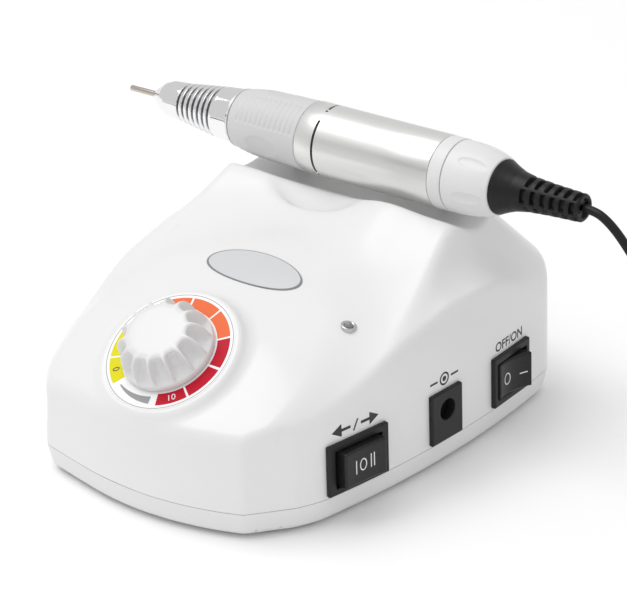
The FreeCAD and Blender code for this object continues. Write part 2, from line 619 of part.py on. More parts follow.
# Rocker switches
def bezel(width):
    """The flat frame of a panel part, chamfered in front, lying against the wall."""
    frame = doc.addObject("Part::Wedge", "bezel")
    tall = S.bezel_height
    bind(frame, Xmin=-width / 2, Xmax=width / 2, Zmin=-tall / 2, Zmax=tall / 2,
         X2min=-width / 2 + S.bezel_chamfer, X2max=width / 2 - S.bezel_chamfer,
         Z2min=-tall / 2 + S.bezel_chamfer, Z2max=tall / 2 - S.bezel_chamfer,
         Ymin=ZERO, Ymax=S.bezel_proud)
    frame.Placement = FreeCAD.Placement(vector(0, 0, 0), spin((0, 0, 1), -90))
    return frame


def switch_body(width, rocker_width):
    pocket_wide = rocker_width + S.rocker_clearance * 2
    pocket_tall = S.rocker_height + S.rocker_clearance * 0.6
    outer_wide = pocket_wide + S.switch_wall * 2
    outer_tall = pocket_tall + S.switch_wall * 2
    back = box(S.switch_depth, outer_wide, outer_tall, (-S.switch_depth, -outer_wide / 2, -outer_tall / 2))
    pocket = box(S.switch_depth + S.bezel_proud, pocket_wide, pocket_tall,
                 (-S.rocker_pivot_depth - S.rocker_root, -pocket_wide / 2, -pocket_tall / 2))
    pivot = rod(S.pivot_radius, outer_tall, (-S.rocker_pivot_depth, 0, -outer_tall / 2))
    return fuse(cut(fuse(bezel(width), back), pocket), pivot)


def terminals(count, pitch, rocker_width):
    start = -(count - 1) * pitch / 2
    return group(*(box(S.terminal_length, S.terminal_thickness, S.terminal_width,
                       (-S.switch_depth - S.terminal_length, start + i * pitch, -S.terminal_width / 2))
                   for i in range(count)))


def rocker(width, reach, dip, rest):
    """A rocker about its pin: its ends reach out, and its middle dips between them."""
    half = width / 2
    outline = [(-S.rocker_root + S.rocker_clearance, -S.pivot_radius * 2), (ZERO, -half),
               (reach - S.bezel_chamfer, -half), (reach, -half + S.bezel_chamfer),
               (reach - dip, ZERO), (reach, half - S.bezel_chamfer),
               (reach - S.bezel_chamfer, half), (ZERO, half),
               (-S.rocker_root + S.rocker_clearance, S.pivot_radius * 2)]
    body = prism(outline, S.rocker_height)
    hole = rod(S.pivot_radius + S.pivot_clearance, S.rocker_height * 2, (0, 0, -S.rocker_height))
    body.Placement = FreeCAD.Placement(vector(0, 0, 0), spin((0, 0, 1), rest))
    return cut(body, hole)


PIVOT = shift(-S.rocker_pivot_depth, 0, 0)
for name, frame, width, rocker_width, proud, dip, rest, pins in (
        ("direction", DIRECTION, S.direction_width, S.direction_rocker, S.rocker_proud,
         S.direction_dip, ZERO, 3),
        ("power", POWER, S.power_width, S.power_rocker, S.power_proud,
         S.power_dip, -S.power_swing, 2)):
    place = BASE.multiply(frame)
    keep(f"{name}_switch_body", switch_body(width, rocker_width), place)
    keep(f"{name}_terminals", terminals(pins, float(rocker_width) / 3, rocker_width), place)
    lever = rocker(rocker_width, proud + S.rocker_pivot_depth, dip, rest)
    keep(f"{name}_rocker", lever, place.multiply(PIVOT))

# Motor socket
ACROSS = spin((0, 1, 0), 90)
socket = cut(fuse(bezel(S.motor_width),
                  rod(S.socket_barrel, S.socket_depth, (-S.socket_depth, 0, S.socket_lift), ACROSS)),
             rod(S.socket_mouth, S.bezel_proud * 2, (0, 0, S.socket_lift), ACROSS),
             rod(S.socket_liner, S.socket_depth, (-S.socket_depth + 1.5, 0, S.socket_lift), ACROSS))
keep("motor_socket", socket, BASE.multiply(MOTOR))
liner = cut(rod(S.socket_liner - 0.05, S.socket_depth - 1.5, (-S.socket_depth + 1.5, 0, S.socket_lift), ACROSS),
            rod(S.socket_bore, S.socket_depth * 2, (-S.socket_depth + 2.5, 0, S.socket_lift), ACROSS))
keep("socket_liner", liner, BASE.multiply(MOTOR))

# Mains inlet
INLET_SET = BASE.multiply(INLET)
flange_wide = S.inlet_width + S.inlet_flange * 2
flange_tall = S.inlet_tall + S.inlet_flange * 2
inlet = cut(fuse(box(S.inlet_width, S.inlet_depth, S.inlet_tall,
                     (-S.inlet_width / 2, -S.inlet_depth, -S.inlet_tall / 2)),
                 box(flange_wide, S.inlet_flange_thickness, flange_tall,
                     (-flange_wide / 2, -S.inlet_flange_thickness, -flange_tall / 2))),
            box(S.inlet_recess_width, S.inlet_depth, S.inlet_recess_tall,
                (-S.inlet_recess_width / 2, -S.inlet_recess_depth, -S.inlet_recess_tall / 2)),
            *(rod(S.pin_radius, S.inlet_depth * 3, (side * float(S.pin_pitch) / 2, S.inlet_depth, 0),
                  spin((1, 0, 0), 90)) for side in (-1, 1)))
keep("mains_inlet", inlet, INLET_SET)
inlet_pins = group(*(rod(S.pin_radius - 0.02, S.pin_length + S.terminal_length + S.inlet_depth - S.inlet_recess_depth,
                         (side * float(S.pin_pitch) / 2, -S.inlet_recess_depth + S.pin_length, 0),
                         spin((1, 0, 0), 90)) for side in (-1, 1)))
keep("inlet_pins", inlet_pins, INLET_SET)

# Main board and what stands on it
board_z = S.standoff_height + FLOOR_TOP
board_top = board_z + S.board_thickness
board = cut(box(S.board_length, S.board_width, S.board_thickness, (S.board_side, BOARD_Y, board_z)),
            *(rod(S.board_screw_radius + S.fit_clearance, S.board_thickness * 3, (x, y, board_z - 1.0))
              for x, y in board_holes))
keep("main_board", board, BASE)
keep("board_screws", screws_at(board_holes, board_top + 1.2, True, S.board_screw_radius - 0.05,
                               S.standoff_radius - 0.6, Size(1.2, "1.2"), S.standoff_height + 1.0), BASE)
keep("filter_capacitor", rod(S.capacitor_radius, S.capacitor_height,
                             (S.board_side + 21.0, BOARD_Y + 38.0, board_top)), BASE)
keep("bridge_rectifier", box(S.rectifier_length, S.rectifier_width, S.rectifier_height,
                             (S.board_side + 34.0, BOARD_Y + 42.0, board_top)), BASE)
keep("direction_relay", box(S.relay_length, S.relay_width, S.relay_height,
                            (S.board_side + 12.0, BOARD_Y + 8.0, board_top)), BASE)
sink_x = S.board_side + 38.0
sink_y = BOARD_Y + 14.0
fins = [box(S.sink_fin, S.sink_depth, S.sink_height, (sink_x + i * 4.96, sink_y, board_top))
        for i in range(6)]
keep("heat_sink", fuse(box(S.sink_length, S.sink_web, S.sink_height, (sink_x, sink_y, board_top)), *fins), BASE)
keep("speed_regulator", box(S.regulator_width, S.regulator_thickness, S.regulator_height,
                            (sink_x + 8.0, sink_y - float(S.regulator_thickness), board_top)), BASE)

# Transformer
CORE_SET = BASE.multiply(shift(S.core_side, CORE_Y, FLOOR_TOP + float(S.core_lift)))
window_tall = S.core_height - S.core_leg
core = cut(box(S.core_length, S.core_depth, S.core_height, (-S.core_length / 2, -S.core_depth / 2, 0)),
           *(box(S.core_window, S.core_depth * 2, window_tall,
                 (low, -S.core_depth, S.core_leg / 2))
             for low in (S.core_leg / 2, -S.core_leg / 2 - S.core_window)))
keep("transformer_core", core, CORE_SET)
sleeve_x = S.core_leg / 2 + S.core_window - S.winding_clearance
sleeve_y = S.core_depth / 2 + S.winding_bulge
sleeve_tall = window_tall - S.winding_clearance * 2
leg_x = S.core_leg / 2 + S.winding_clearance
leg_y = S.core_depth / 2 + S.winding_clearance
winding = cut(box(sleeve_x * 2, sleeve_y * 2, sleeve_tall,
                  (-sleeve_x, -sleeve_y, S.core_leg / 2 + S.winding_clearance)),
              box(leg_x * 2, leg_y * 2, S.core_height, (-leg_x, -leg_y, 0)))
keep("transformer_winding", winding, CORE_SET)
strap_out = S.core_length / 2 + S.strap_thickness
strap_half = strap_out + S.strap_foot
strap = cut(fuse(box(strap_out * 2, S.strap_width, S.core_height + S.strap_thickness,
                     (-strap_out, -S.strap_width / 2, 0)),
                 box(strap_half * 2, S.strap_width, S.strap_thickness, (-strap_half, -S.strap_width / 2, 0))),
            box(S.core_length + 0.04, S.strap_width * 2, S.core_height + 0.02,
                (-S.core_length / 2 - 0.02, -S.strap_width, 0)),
            *(rod(S.board_screw_radius + S.fit_clearance, S.core_lift * 3, (side * strap_x, 0, -1.0))
              for side in (-1, 1)))
keep("transformer_strap", strap, CORE_SET)
keep("strap_screws", screws_at([(side * strap_x, 0.0) for side in (-1, 1)], S.strap_thickness + 1.4, True,
                               S.board_screw_radius - 0.05, S.standoff_radius - 0.6, Size(1.4, "1.4"),
                               S.strap_thickness + 3.6), CORE_SET)

# Handpiece, bit and spindle
gap = S.part_gap
bit_shank = turned([(ZERO, ZERO), (ZERO, S.bit_end_radius), (S.bit_free, S.bit_end_radius),
                    (S.bit_free + 0.5, S.bit_radius), (S.bit_length, S.bit_radius), (S.bit_length, ZERO)])
keep("bit_shank", bit_shank, TURNED)
collet_wall = S.bit_radius + S.bit_clearance
collet = cut(turned([(S.collet_start, collet_wall), (S.collet_start, S.collet_radius - 0.4),
                     (S.collet_start + 1.5, S.collet_radius), (S.collet_end, S.collet_radius),
                     (S.collet_end, collet_wall)]),
             *(box(S.collet_end - S.collet_start - 6.0, Size(0.5, "0.5"), S.collet_radius * 2,
                   (S.collet_start, -0.25, 0), spin((1, 0, 0), 120 * i)) for i in range(3)))
keep("collet", collet, TURNED)
spindle = turned([
    (S.spindle_start, S.collet_radius + 0.03), (S.spindle_start, S.spindle_nose - 0.2),
    (S.spindle_start + 1.0, S.spindle_radius), (S.spindle_end, S.spindle_radius), (S.spindle_end, ZERO),
    (S.bit_length + 6.0, ZERO), (S.bit_length + 6.0, S.bit_radius + 0.1),
    (S.collet_end + 0.5, S.bit_radius + 0.1), (S.collet_end + 0.5, S.collet_radius + 0.03)])
keep("spindle", spindle, TURNED)
for name, start in (("front_bearing", S.front_bearing), ("rear_bearing", S.rear_bearing)):
    ring = turned([(start, S.bearing_bore), (start, S.housing_bore - 0.03),
                   (start + S.bearing_width, S.housing_bore - 0.03),
                   (start + S.bearing_width, S.bearing_bore)])
    keep(name, ring, TURNED)
housing_seat = S.grip_end + 2.0
housing = turned([
    (S.housing_start, S.housing_bore), (S.housing_start, S.housing_radius),
    (housing_seat, S.housing_radius), (housing_seat, S.barrel_radius - S.barrel_wall - gap),
    (housing_seat + 4.0, S.barrel_radius - S.barrel_wall - gap), (housing_seat + 4.0, S.housing_radius),
    (S.housing_end, S.housing_radius), (S.housing_end, S.housing_bore)])
keep("spindle_housing", housing, TURNED)
coupling_mid = (S.spindle_end + S.coupling_end) / 2
coupling = turned([
    (S.spindle_end - 5.0, S.spindle_radius + 0.03), (S.spindle_end - 5.0, S.coupling_radius - 0.4),
    (S.housing_end + 1.0, S.coupling_radius - 0.4), (S.housing_end + 1.0, S.coupling_radius),
    (S.coupling_end, S.coupling_radius), (S.coupling_end, S.motor_shaft_radius + 0.03),
    (coupling_mid, S.motor_shaft_radius + 0.03), (coupling_mid, ZERO), (S.spindle_end + 0.1, ZERO),
    (S.spindle_end + 0.1, S.spindle_radius + 0.03)])
keep("drive_coupling", coupling, TURNED)

# Chromed nose with its ring grooves
nose_bore = S.housing_radius + S.joint_gap
GROOVES = 7
nose_outline = [
    (S.nose_start, S.nose_mouth), (S.nose_start, S.nose_tip_radius),
    (S.nose_cone_end, S.nose_cone_radius),
    (S.nose_shoulder, S.nose_shoulder_radius), (S.groove_start, S.groove_radius)]
rise = (S.band_radius - S.groove_radius) / GROOVES
for i in range(GROOVES):
    start = S.groove_start + S.groove_pitch * i
    radius = S.groove_radius + rise * i
    nose_outline += [(start, radius - S.groove_depth), (start + S.groove_width, radius - S.groove_depth),
                     (start + S.groove_width, radius + rise * 0.4), (start + S.groove_pitch, radius + rise)]
nose_outline += [
    (S.grip_start - 0.02, S.band_end_radius), (S.grip_start - 0.02, nose_bore),
    (S.housing_start - 1.0, nose_bore), (S.housing_start - 1.0, S.spindle_nose + 0.6),
    (S.nose_start + 2.6, S.spindle_nose + 0.6), (S.nose_start + 2.6, S.nose_mouth)]
keep("nose_cone", turned(nose_outline), TURNED)
grip = turned([
    (S.grip_start, nose_bore), (S.grip_start, S.grip_front_radius - 0.3),
    (S.grip_start + 0.5, S.grip_front_radius), (S.grip_swell_station, S.grip_swell_radius),
    (S.grip_bulge_station, S.grip_bulge_radius), (S.grip_end - 6.0, S.grip_end_radius - 0.15),
    (S.grip_end - 0.2, S.grip_end_radius), (S.grip_end - 0.2, nose_bore)])
keep("front_grip", grip, TURNED)

# Aluminium barrel with two arc slits, and the motor inside
barrel_bore = S.barrel_radius - S.barrel_wall
barrel = turned([
    (S.grip_end, barrel_bore), (S.grip_end, S.barrel_radius - 0.5), (S.grip_end + 1.0, S.barrel_radius),
    (S.slit_station, S.barrel_radius), (S.slit_station, S.barrel_radius - S.slit_depth),
    (S.slit_station + S.slit_width, S.barrel_radius - S.slit_depth),
    (S.slit_station + S.slit_width, S.barrel_radius), (S.barrel_end - 0.02, S.barrel_radius),
    (S.barrel_end - 0.02, barrel_bore)])
bridge_arc = S.barrel_radius * 0.5
bridge_depth = S.slit_depth + S.barrel_wall / 3
bridges = [box(S.slit_width, bridge_arc, bridge_depth, (S.slit_station, -bridge_arc / 2, low))
           for low in (S.barrel_radius - 0.5 - bridge_depth, -S.barrel_radius + 0.5)]
keep("barrel", fuse(barrel, *bridges), TURNED)
can_bore = S.can_radius - S.can_wall
shaft_hole = S.motor_shaft_radius + 0.05
can = turned([
    (S.can_start, shaft_hole), (S.can_start, S.can_radius), (S.can_end, S.can_radius), (S.can_end, can_bore),
    (S.can_start + 1.2, can_bore), (S.can_start + 1.2, shaft_hole)])
keep("motor_can", can, TURNED)
magnet_out = can_bore - 0.05
magnet_ring = turned([
    (S.rotor_start, magnet_out - S.magnet_thickness), (S.rotor_start, magnet_out),
    (S.rotor_end, magnet_out), (S.rotor_end, magnet_out - S.magnet_thickness)])
magnets = cut(magnet_ring, box(S.can_end - S.can_start, S.can_radius * 2, S.magnet_thickness * 2,
                               (S.can_start, -S.can_radius, -S.magnet_thickness)))
keep("motor_magnets", magnets, TURNED)
rotor = turned([
    (coupling_mid + 0.3, ZERO), (coupling_mid + 0.3, S.motor_shaft_radius),
    (S.rotor_start + 1.0, S.motor_shaft_radius), (S.rotor_start + 1.0, S.rotor_radius),
    (S.rotor_end - 1.0, S.rotor_radius), (S.rotor_end - 1.0, S.commutator_radius),
    (S.commutator_end, S.commutator_radius), (S.commutator_end, S.motor_shaft_radius),
    (S.motor_shaft_end, S.motor_shaft_radius), (S.motor_shaft_end, ZERO)])
keep("motor_rotor", rotor, TURNED)
end_cap = turned([
    (S.can_end - 1.0, shaft_hole), (S.can_end - 1.0, can_bore - 0.05), (S.can_end + 0.02, can_bore - 0.05),
    (S.can_end + 0.02, S.can_radius), (S.can_end + 2.4, S.can_radius), (S.can_end + 2.4, shaft_hole)])
keep("motor_end_cap", end_cap, TURNED)
brush_reach = can_bore - 0.3 - S.commutator_radius - 0.1
brushes = group(*(box(S.brush_size, S.brush_size, brush_reach,
                      (S.commutator_end - 3.4, -S.brush_size / 2, low))
                  for low in (S.commutator_radius + 0.1, -S.commutator_radius - 0.1 - brush_reach)))
keep("motor_brushes", brushes, TURNED)

# Tail of the handpiece
tail_ring = turned([
    (S.barrel_end, barrel_bore - 2.0), (S.barrel_end, S.tail_ring_radius),
    (S.tail_ring_end - 0.02, S.tail_ring_radius), (S.tail_ring_end - 0.02, barrel_bore - 2.0)])
keep("tail_ring", tail_ring, TURNED)
cap_bore = S.relief_tail + 0.1
tail_cap = turned([
    (S.tail_ring_end, cap_bore), (S.tail_ring_end, S.tail_cap_radius),
    (S.tail_cap_mid, S.tail_cap_mid_radius), (S.tail_cap_end - 2.0, S.tail_cap_end_radius + 0.8),
    (S.tail_cap_end, S.tail_cap_end_radius), (S.tail_cap_end, cap_bore)])
keep("tail_cap", tail_cap, TURNED)
relief = turned([
    (S.tail_ring_end + 2.0, ZERO), (S.tail_ring_end + 2.0, S.relief_tail),
    (S.tail_cap_end + 0.02, S.relief_tail), (S.tail_cap_end + 0.02, S.relief_bell_radius),
    (S.tail_cap_end + 3.0, S.relief_bell_radius - 1.35), (S.relief_bell_end, S.relief_neck_radius),
    (S.relief_waist, S.relief_waist_radius),
    (S.relief_end - 1.2, S.relief_end_radius), (S.relief_end, S.relief_end_radius - 1.0),
    (S.relief_end, ZERO)])
keep("strain_relief", relief, TURNED)

# Lead: from the strain relief to the table, then wound up beside the plug
CORD = float(S.cord_diameter)
LAY = CORD / 2 + 0.05
exit_point = TURNED.multVec(vector(S.relief_end, 0, 0))
COIL_CENTRE = vector(S.coil_x, S.coil_y, LAY)
HALF_TURNS = float(S.coil_turns)
SPREAD = float(S.coil_pitch) * HALF_TURNS / 2
COIL_OUT = float(S.coil_across) / 2 + SPREAD
COIL_START = COIL_CENTRE + vector(0, -COIL_OUT, 0)
FIRST_RUN = 3.4
ROUTE = [
    exit_point,
    exit_point + HAND_AXIS * FIRST_RUN,
    vector(109.58, 47.59, 92.06),
    vector(115.8, 47.9, 87.1),
    vector(124.4, 48.6, 76.0),
    vector(133.0, 49.9, 56.4),
    vector(138.8, 51.3, 35.8),
    vector(146.0, 52.4, 16.6),
    vector(156.5, 52.7, 4.2),
    vector(168.0, COIL_START.y, LAY),
    COIL_START - vector(CORD, 0, 0),
]


def tangent_run(points):
    """Straight runs joined by tangent arcs, and the arcs' radii."""
    edges = []
    radii = []
    start = points[0]
    for before, corner, after in zip(points, points[1:], points[2:]):
        inward = (before - corner).normalize()
        onward = (after - corner).normalize()
        turn = math.pi - inward.getAngle(onward)
        back = 0.45 * min((corner - before).Length, (after - corner).Length)
        radius = back / math.tan(turn / 2)
        first = corner + inward * back
        last = corner + onward * back
        towards = (inward + onward).normalize()
        middle = corner + towards * (radius / math.cos(turn / 2) - radius)
        edges.append(Part.LineSegment(start, first).toShape())
        edges.append(Part.Arc(first, middle, last).toShape())
        radii.append(radius)
        start = last
    edges.append(Part.LineSegment(start, points[-1]).toShape())
    return edges, radii


def tube(edges, diameter):
    """A round cord along a chain of edges."""
    path = Part.Wire(edges)
    first = edges[0]
    start = first.valueAt(first.FirstParameter)
    heading = first.tangentAt(first.FirstParameter)
    ring = Part.Wire([Part.Circle(start, heading, diameter / 2).toShape()])
    body = path.makePipeShell([ring], True, False)
    section = math.pi * diameter ** 2 / 4
    print("tube", round(path.Length, 1), "mm, volume ratio", round(body.Volume / section / path.Length, 4))
    return body


run_edges, run_radii = tangent_run(ROUTE)
print("cord radii", [round(radius, 1) for radius in run_radii])
keep("cord_run", solid(tube(run_edges, CORD)), FreeCAD.Placement())


def coil_point(angle):
    """Place and heading on the coil after an angle in turns, counted from its start."""
    inward = angle <= HALF_TURNS
    radial = angle if inward else 2 * HALF_TURNS - angle
    radius = COIL_OUT - float(S.coil_pitch) * radial
    rate = -float(S.coil_pitch) / 2 / math.pi * (1 if inward else -1)
    climb = min(1.0, max(0.0, (angle - HALF_TURNS) / 0.5 + 0.5))
    height = LAY + float(S.coil_pitch) * climb * climb * (3 - 2 * climb)
    slope = float(S.coil_pitch) * 6 * climb * (1 - climb) / 0.5 / 2 / math.pi
    turn = 2 * math.pi * angle - math.pi / 2
    outward = vector(math.cos(turn), math.sin(turn), 0)
    along = vector(-math.sin(turn), math.cos(turn), 0)
    place = vector(COIL_CENTRE.x, COIL_CENTRE.y, height) + outward * radius
    heading = (along * radius + outward * rate + vector(0, 0, slope)).normalize()
    return place, heading


def arc_through(start, heading, end):
    """The three points of the arc that leaves start along heading and reaches end."""
    chord = end - start
    unit = chord * (1 / chord.Length)
    bend = heading - unit * heading.dot(unit)
    half = heading.getAngle(unit)
    middle = (start + end) * 0.5 + bend.normalize() * (chord.Length / 2 * math.tan(half / 2))
    return start, middle, end


def biarc(start, heading, end, arrival):
    """Two tangent arcs between two places with given headings."""
    chord = end - start
    both = heading + arrival
    square = 2 * (1 - heading.dot(arrival))
    reach_out = chord.dot(both)
    length = (math.sqrt(reach_out ** 2 + square * chord.dot(chord)) - reach_out) / square
    joint = (start + heading * length + end - arrival * length) * 0.5
    first = arc_through(start, heading, joint)
    second = arc_through(end, arrival * -1, joint)[::-1]
    return [Part.Arc(*first).toShape(), Part.Arc(*second).toShape()]


QUARTERS = int(round(2 * HALF_TURNS * 4))
start_heading = vector(1, 0, 0)
coil_edges = [Part.LineSegment(COIL_START - vector(CORD, 0, 0), COIL_START).toShape()]
place, heading = COIL_START, start_heading
for quarter in range(1, QUARTERS + 1):
    next_place, next_heading = coil_point(quarter / 4)
    if quarter == QUARTERS:
        next_heading = vector(round(next_heading.x), round(next_heading.y), 0)
    coil_edges += biarc(place, heading, next_place, next_heading)
    place, heading = next_place, next_heading
COIL_END = place + heading * CORD
coil_edges.append(Part.LineSegment(place, COIL_END).toShape())
keep("cord_coil", solid(tube(coil_edges, CORD)), FreeCAD.Placement())


def least_gap(edges, diameter):
    """The smallest space between turns, measured on points of the line."""
    points = []
    travelled = 0.0
    for edge in edges:
        steps = max(2, int(edge.Length / 2))
        for step in range(steps):
            points.append((travelled + edge.Length * step / steps,
                           edge.valueAt(edge.getParameterByLength(edge.Length * step / steps))))
        travelled += edge.Length
    least = SKY
    for i, (here, point) in enumerate(points):
        for there, other in points[i + 1:]:
            if there - here > 6 * diameter:
                least = min(least, point.distanceToPoint(other))
    return least - diameter


print("base shift", round(BASE.Base.x, 4), "exit", [round(v, 3) for v in exit_point])
print("coil gap", round(least_gap(coil_edges, CORD), 2), "cord length",
      round(sum(edge.Length for edge in run_edges + coil_edges), 1))
PLUG_SET = FreeCAD.Placement(COIL_END, FreeCAD.Rotation(vector(1, 0, 0), heading))
plug_radius = Size(COIL_END.z, repr(COIL_END.z))
boot = S.plug_boot_length
plug = turned([
    (ZERO, ZERO), (ZERO, S.plug_boot_tip), (boot / 3, S.plug_boot_tip + 0.1),
    (boot * 0.8, S.plug_boot_root), (boot, S.plug_boot_root), (boot, plug_radius * 0.9),
    (boot + 1.0, plug_radius), (boot + S.plug_body_length - 1.0, plug_radius),
    (boot + S.plug_body_length, plug_radius * 0.9), (boot + S.plug_body_length, ZERO)])
keep("plug_body", plug, PLUG_SET)
pin_start = boot + S.plug_body_length + 0.02
pin_end = pin_start + S.plug_pin_length
pin = turned([
    (pin_start, ZERO), (pin_start, S.plug_pin_radius), (pin_end - 6.0, S.plug_pin_radius),
    (pin_end - 4.6, S.plug_pin_radius - 0.9), (pin_end - 2.6, S.plug_pin_radius - 0.1),
    (pin_end, S.plug_pin_radius - 1.9), (pin_end, ZERO)])
keep("plug_pin", pin, PLUG_SET)

doc.recompute()
for item in doc.Objects:
    assert "Invalid" not in item.State and "Error" not in item.State, (item.Name, item.Label, item.State)
for node, item in NODES.items():
    assert not item.Shape.isNull() and item.Shape.isValid(), node
    item.Shape.exportStep(f"parts/{node}.step")
    print(node, len(item.Shape.Solids), round(item.Shape.Volume, 1))
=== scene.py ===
import math

import bpy
import numpy as np
from mathutils import Matrix, Vector


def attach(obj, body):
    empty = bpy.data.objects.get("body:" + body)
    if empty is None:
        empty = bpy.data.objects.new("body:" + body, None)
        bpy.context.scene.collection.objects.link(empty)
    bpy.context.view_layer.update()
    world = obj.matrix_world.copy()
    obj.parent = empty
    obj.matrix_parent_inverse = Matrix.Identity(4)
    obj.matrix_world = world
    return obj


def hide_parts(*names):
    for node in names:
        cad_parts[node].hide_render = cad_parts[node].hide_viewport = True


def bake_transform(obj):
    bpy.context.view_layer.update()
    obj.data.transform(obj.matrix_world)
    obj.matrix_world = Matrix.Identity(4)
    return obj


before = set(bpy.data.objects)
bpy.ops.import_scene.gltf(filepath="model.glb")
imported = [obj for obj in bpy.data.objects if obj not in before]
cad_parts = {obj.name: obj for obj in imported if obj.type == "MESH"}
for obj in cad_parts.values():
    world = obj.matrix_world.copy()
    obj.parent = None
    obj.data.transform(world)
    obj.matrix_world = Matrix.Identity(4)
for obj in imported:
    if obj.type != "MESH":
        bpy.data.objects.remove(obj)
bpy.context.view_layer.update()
MM = 0.001

# Places, in millimetres, as in the part's source
BASE_X = 5.436
FRONT, REAR, HALF_WIDTH = -84.1, 84.1, 65.2
SIDE_ARC, SIDE_CENTRE_Y = 380.0, 20.0
FRONT_ARC, FACET_INSET = 106.0, 22.2
REAR_CORNER, REAR_INSET, REAR_DROP = 14.1, 14.0, 3.75
PANEL_HEIGHT, INLET_SIDE = 21.2, 30.0
SEAM, FLOOR = 10.5, 1.2
DIAL_SLOPE, BADGE_SLOPE = 31.7, 8.0


def turn(axis, degrees):
    return Matrix.Rotation(math.radians(degrees), 4, axis)


def move(x, y, z):
    return Matrix.Translation((x, y, z))


def wall_x(y):
    return HALF_WIDTH - SIDE_ARC + math.sqrt(SIDE_ARC ** 2 - (y - SIDE_CENTRE_Y) ** 2)


def panel(back):
    y = FRONT + back
    swing = math.degrees(math.asin((y - SIDE_CENTRE_Y) / SIDE_ARC))
    return BASE @ move(wall_x(y), y, PANEL_HEIGHT) @ turn("Z", swing)


BASE = move(BASE_X, 0, 0)
DIAL = BASE @ move(0, FRONT + 23.3, 54.0) @ turn("X", DIAL_SLOPE)
LED = BASE @ move(45.0, FRONT + 65.1, 60.2) @ turn("Y", 13.0)
DIRECTION, MOTOR, POWER = panel(48.0), panel(91.9), panel(130.3)
REAR_ARC = ((HALF_WIDTH - REAR_INSET) ** 2 + REAR_DROP ** 2) / 2 / REAR_DROP
INLET_LEAN = math.degrees(math.asin(INLET_SIDE / REAR_ARC))
INLET_Y = REAR - REAR_ARC + math.sqrt(REAR_ARC ** 2 - INLET_SIDE ** 2)
INLET = BASE @ move(INLET_SIDE, INLET_Y, 21.0) @ turn("Z", -INLET_LEAN)
HAND = BASE @ move(0, REAR - 38.7, 91.0) @ turn("Z", 1.2) @ turn("Y", -1.4)
# The handpiece's frame at the tip of its bit, with X towards the tail
TURNED = HAND @ move(-107.2, 0, 0)
BARREL, SEAT_GAP = 13.2, 0.3
TILTED = DIAL @ turn("Y", -90)


# Materials
def material(name, colour, rough=0.5, metal=0.0, bump=0.0, scale=400.0, coat=0.0, speckle=0.0,
             stretch=(1, 1, 1), rough_spread=0.08):
    """A finish with fine grain in its height, tone and gloss."""
    made = bpy.data.materials.new(name)
    made.use_nodes = True
    tree = made.node_tree
    shader = tree.nodes["Principled BSDF"]
    shader.inputs["Base Color"].default_value = (*colour, 1)
    shader.inputs["Roughness"].default_value = rough
    shader.inputs["Metallic"].default_value = metal
    shader.inputs["Coat Weight"].default_value = coat
    shader.inputs["Coat Roughness"].default_value = 0.12
    place = tree.nodes.new("ShaderNodeTexCoord")
    mapping = tree.nodes.new("ShaderNodeMapping")
    mapping.inputs["Scale"].default_value = stretch
    noise = tree.nodes.new("ShaderNodeTexNoise")
    noise.inputs["Scale"].default_value = scale
    noise.inputs["Detail"].default_value = 4
    tree.links.new(place.outputs["Object"], mapping.inputs["Vector"])
    tree.links.new(mapping.outputs["Vector"], noise.inputs["Vector"])
    if rough_spread:
        spread = tree.nodes.new("ShaderNodeMapRange")
        spread.inputs["To Min"].default_value = max(0.02, rough - rough_spread)
        spread.inputs["To Max"].default_value = min(1.0, rough + rough_spread)
        tree.links.new(noise.outputs["Fac"], spread.inputs["Value"])
        tree.links.new(spread.outputs["Result"], shader.inputs["Roughness"])
    if bump:
        raised = tree.nodes.new("ShaderNodeBump")
        raised.inputs["Strength"].default_value = bump
        raised.inputs["Distance"].default_value = 0.0002
        tree.links.new(noise.outputs["Fac"], raised.inputs["Height"])
        tree.links.new(raised.outputs["Normal"], shader.inputs["Normal"])
    if speckle:
        tone = tree.nodes.new("ShaderNodeMix")
        tone.data_type = "RGBA"
        tone.inputs[6].default_value = (*(c * (1 - speckle) for c in colour), 1)
        tone.inputs[7].default_value = (*(min(1, c * (1 + speckle)) for c in colour), 1)
        tree.links.new(noise.outputs["Fac"], tone.inputs[0])
        tree.links.new(tone.outputs[2], shader.inputs["Base Color"])
    return made


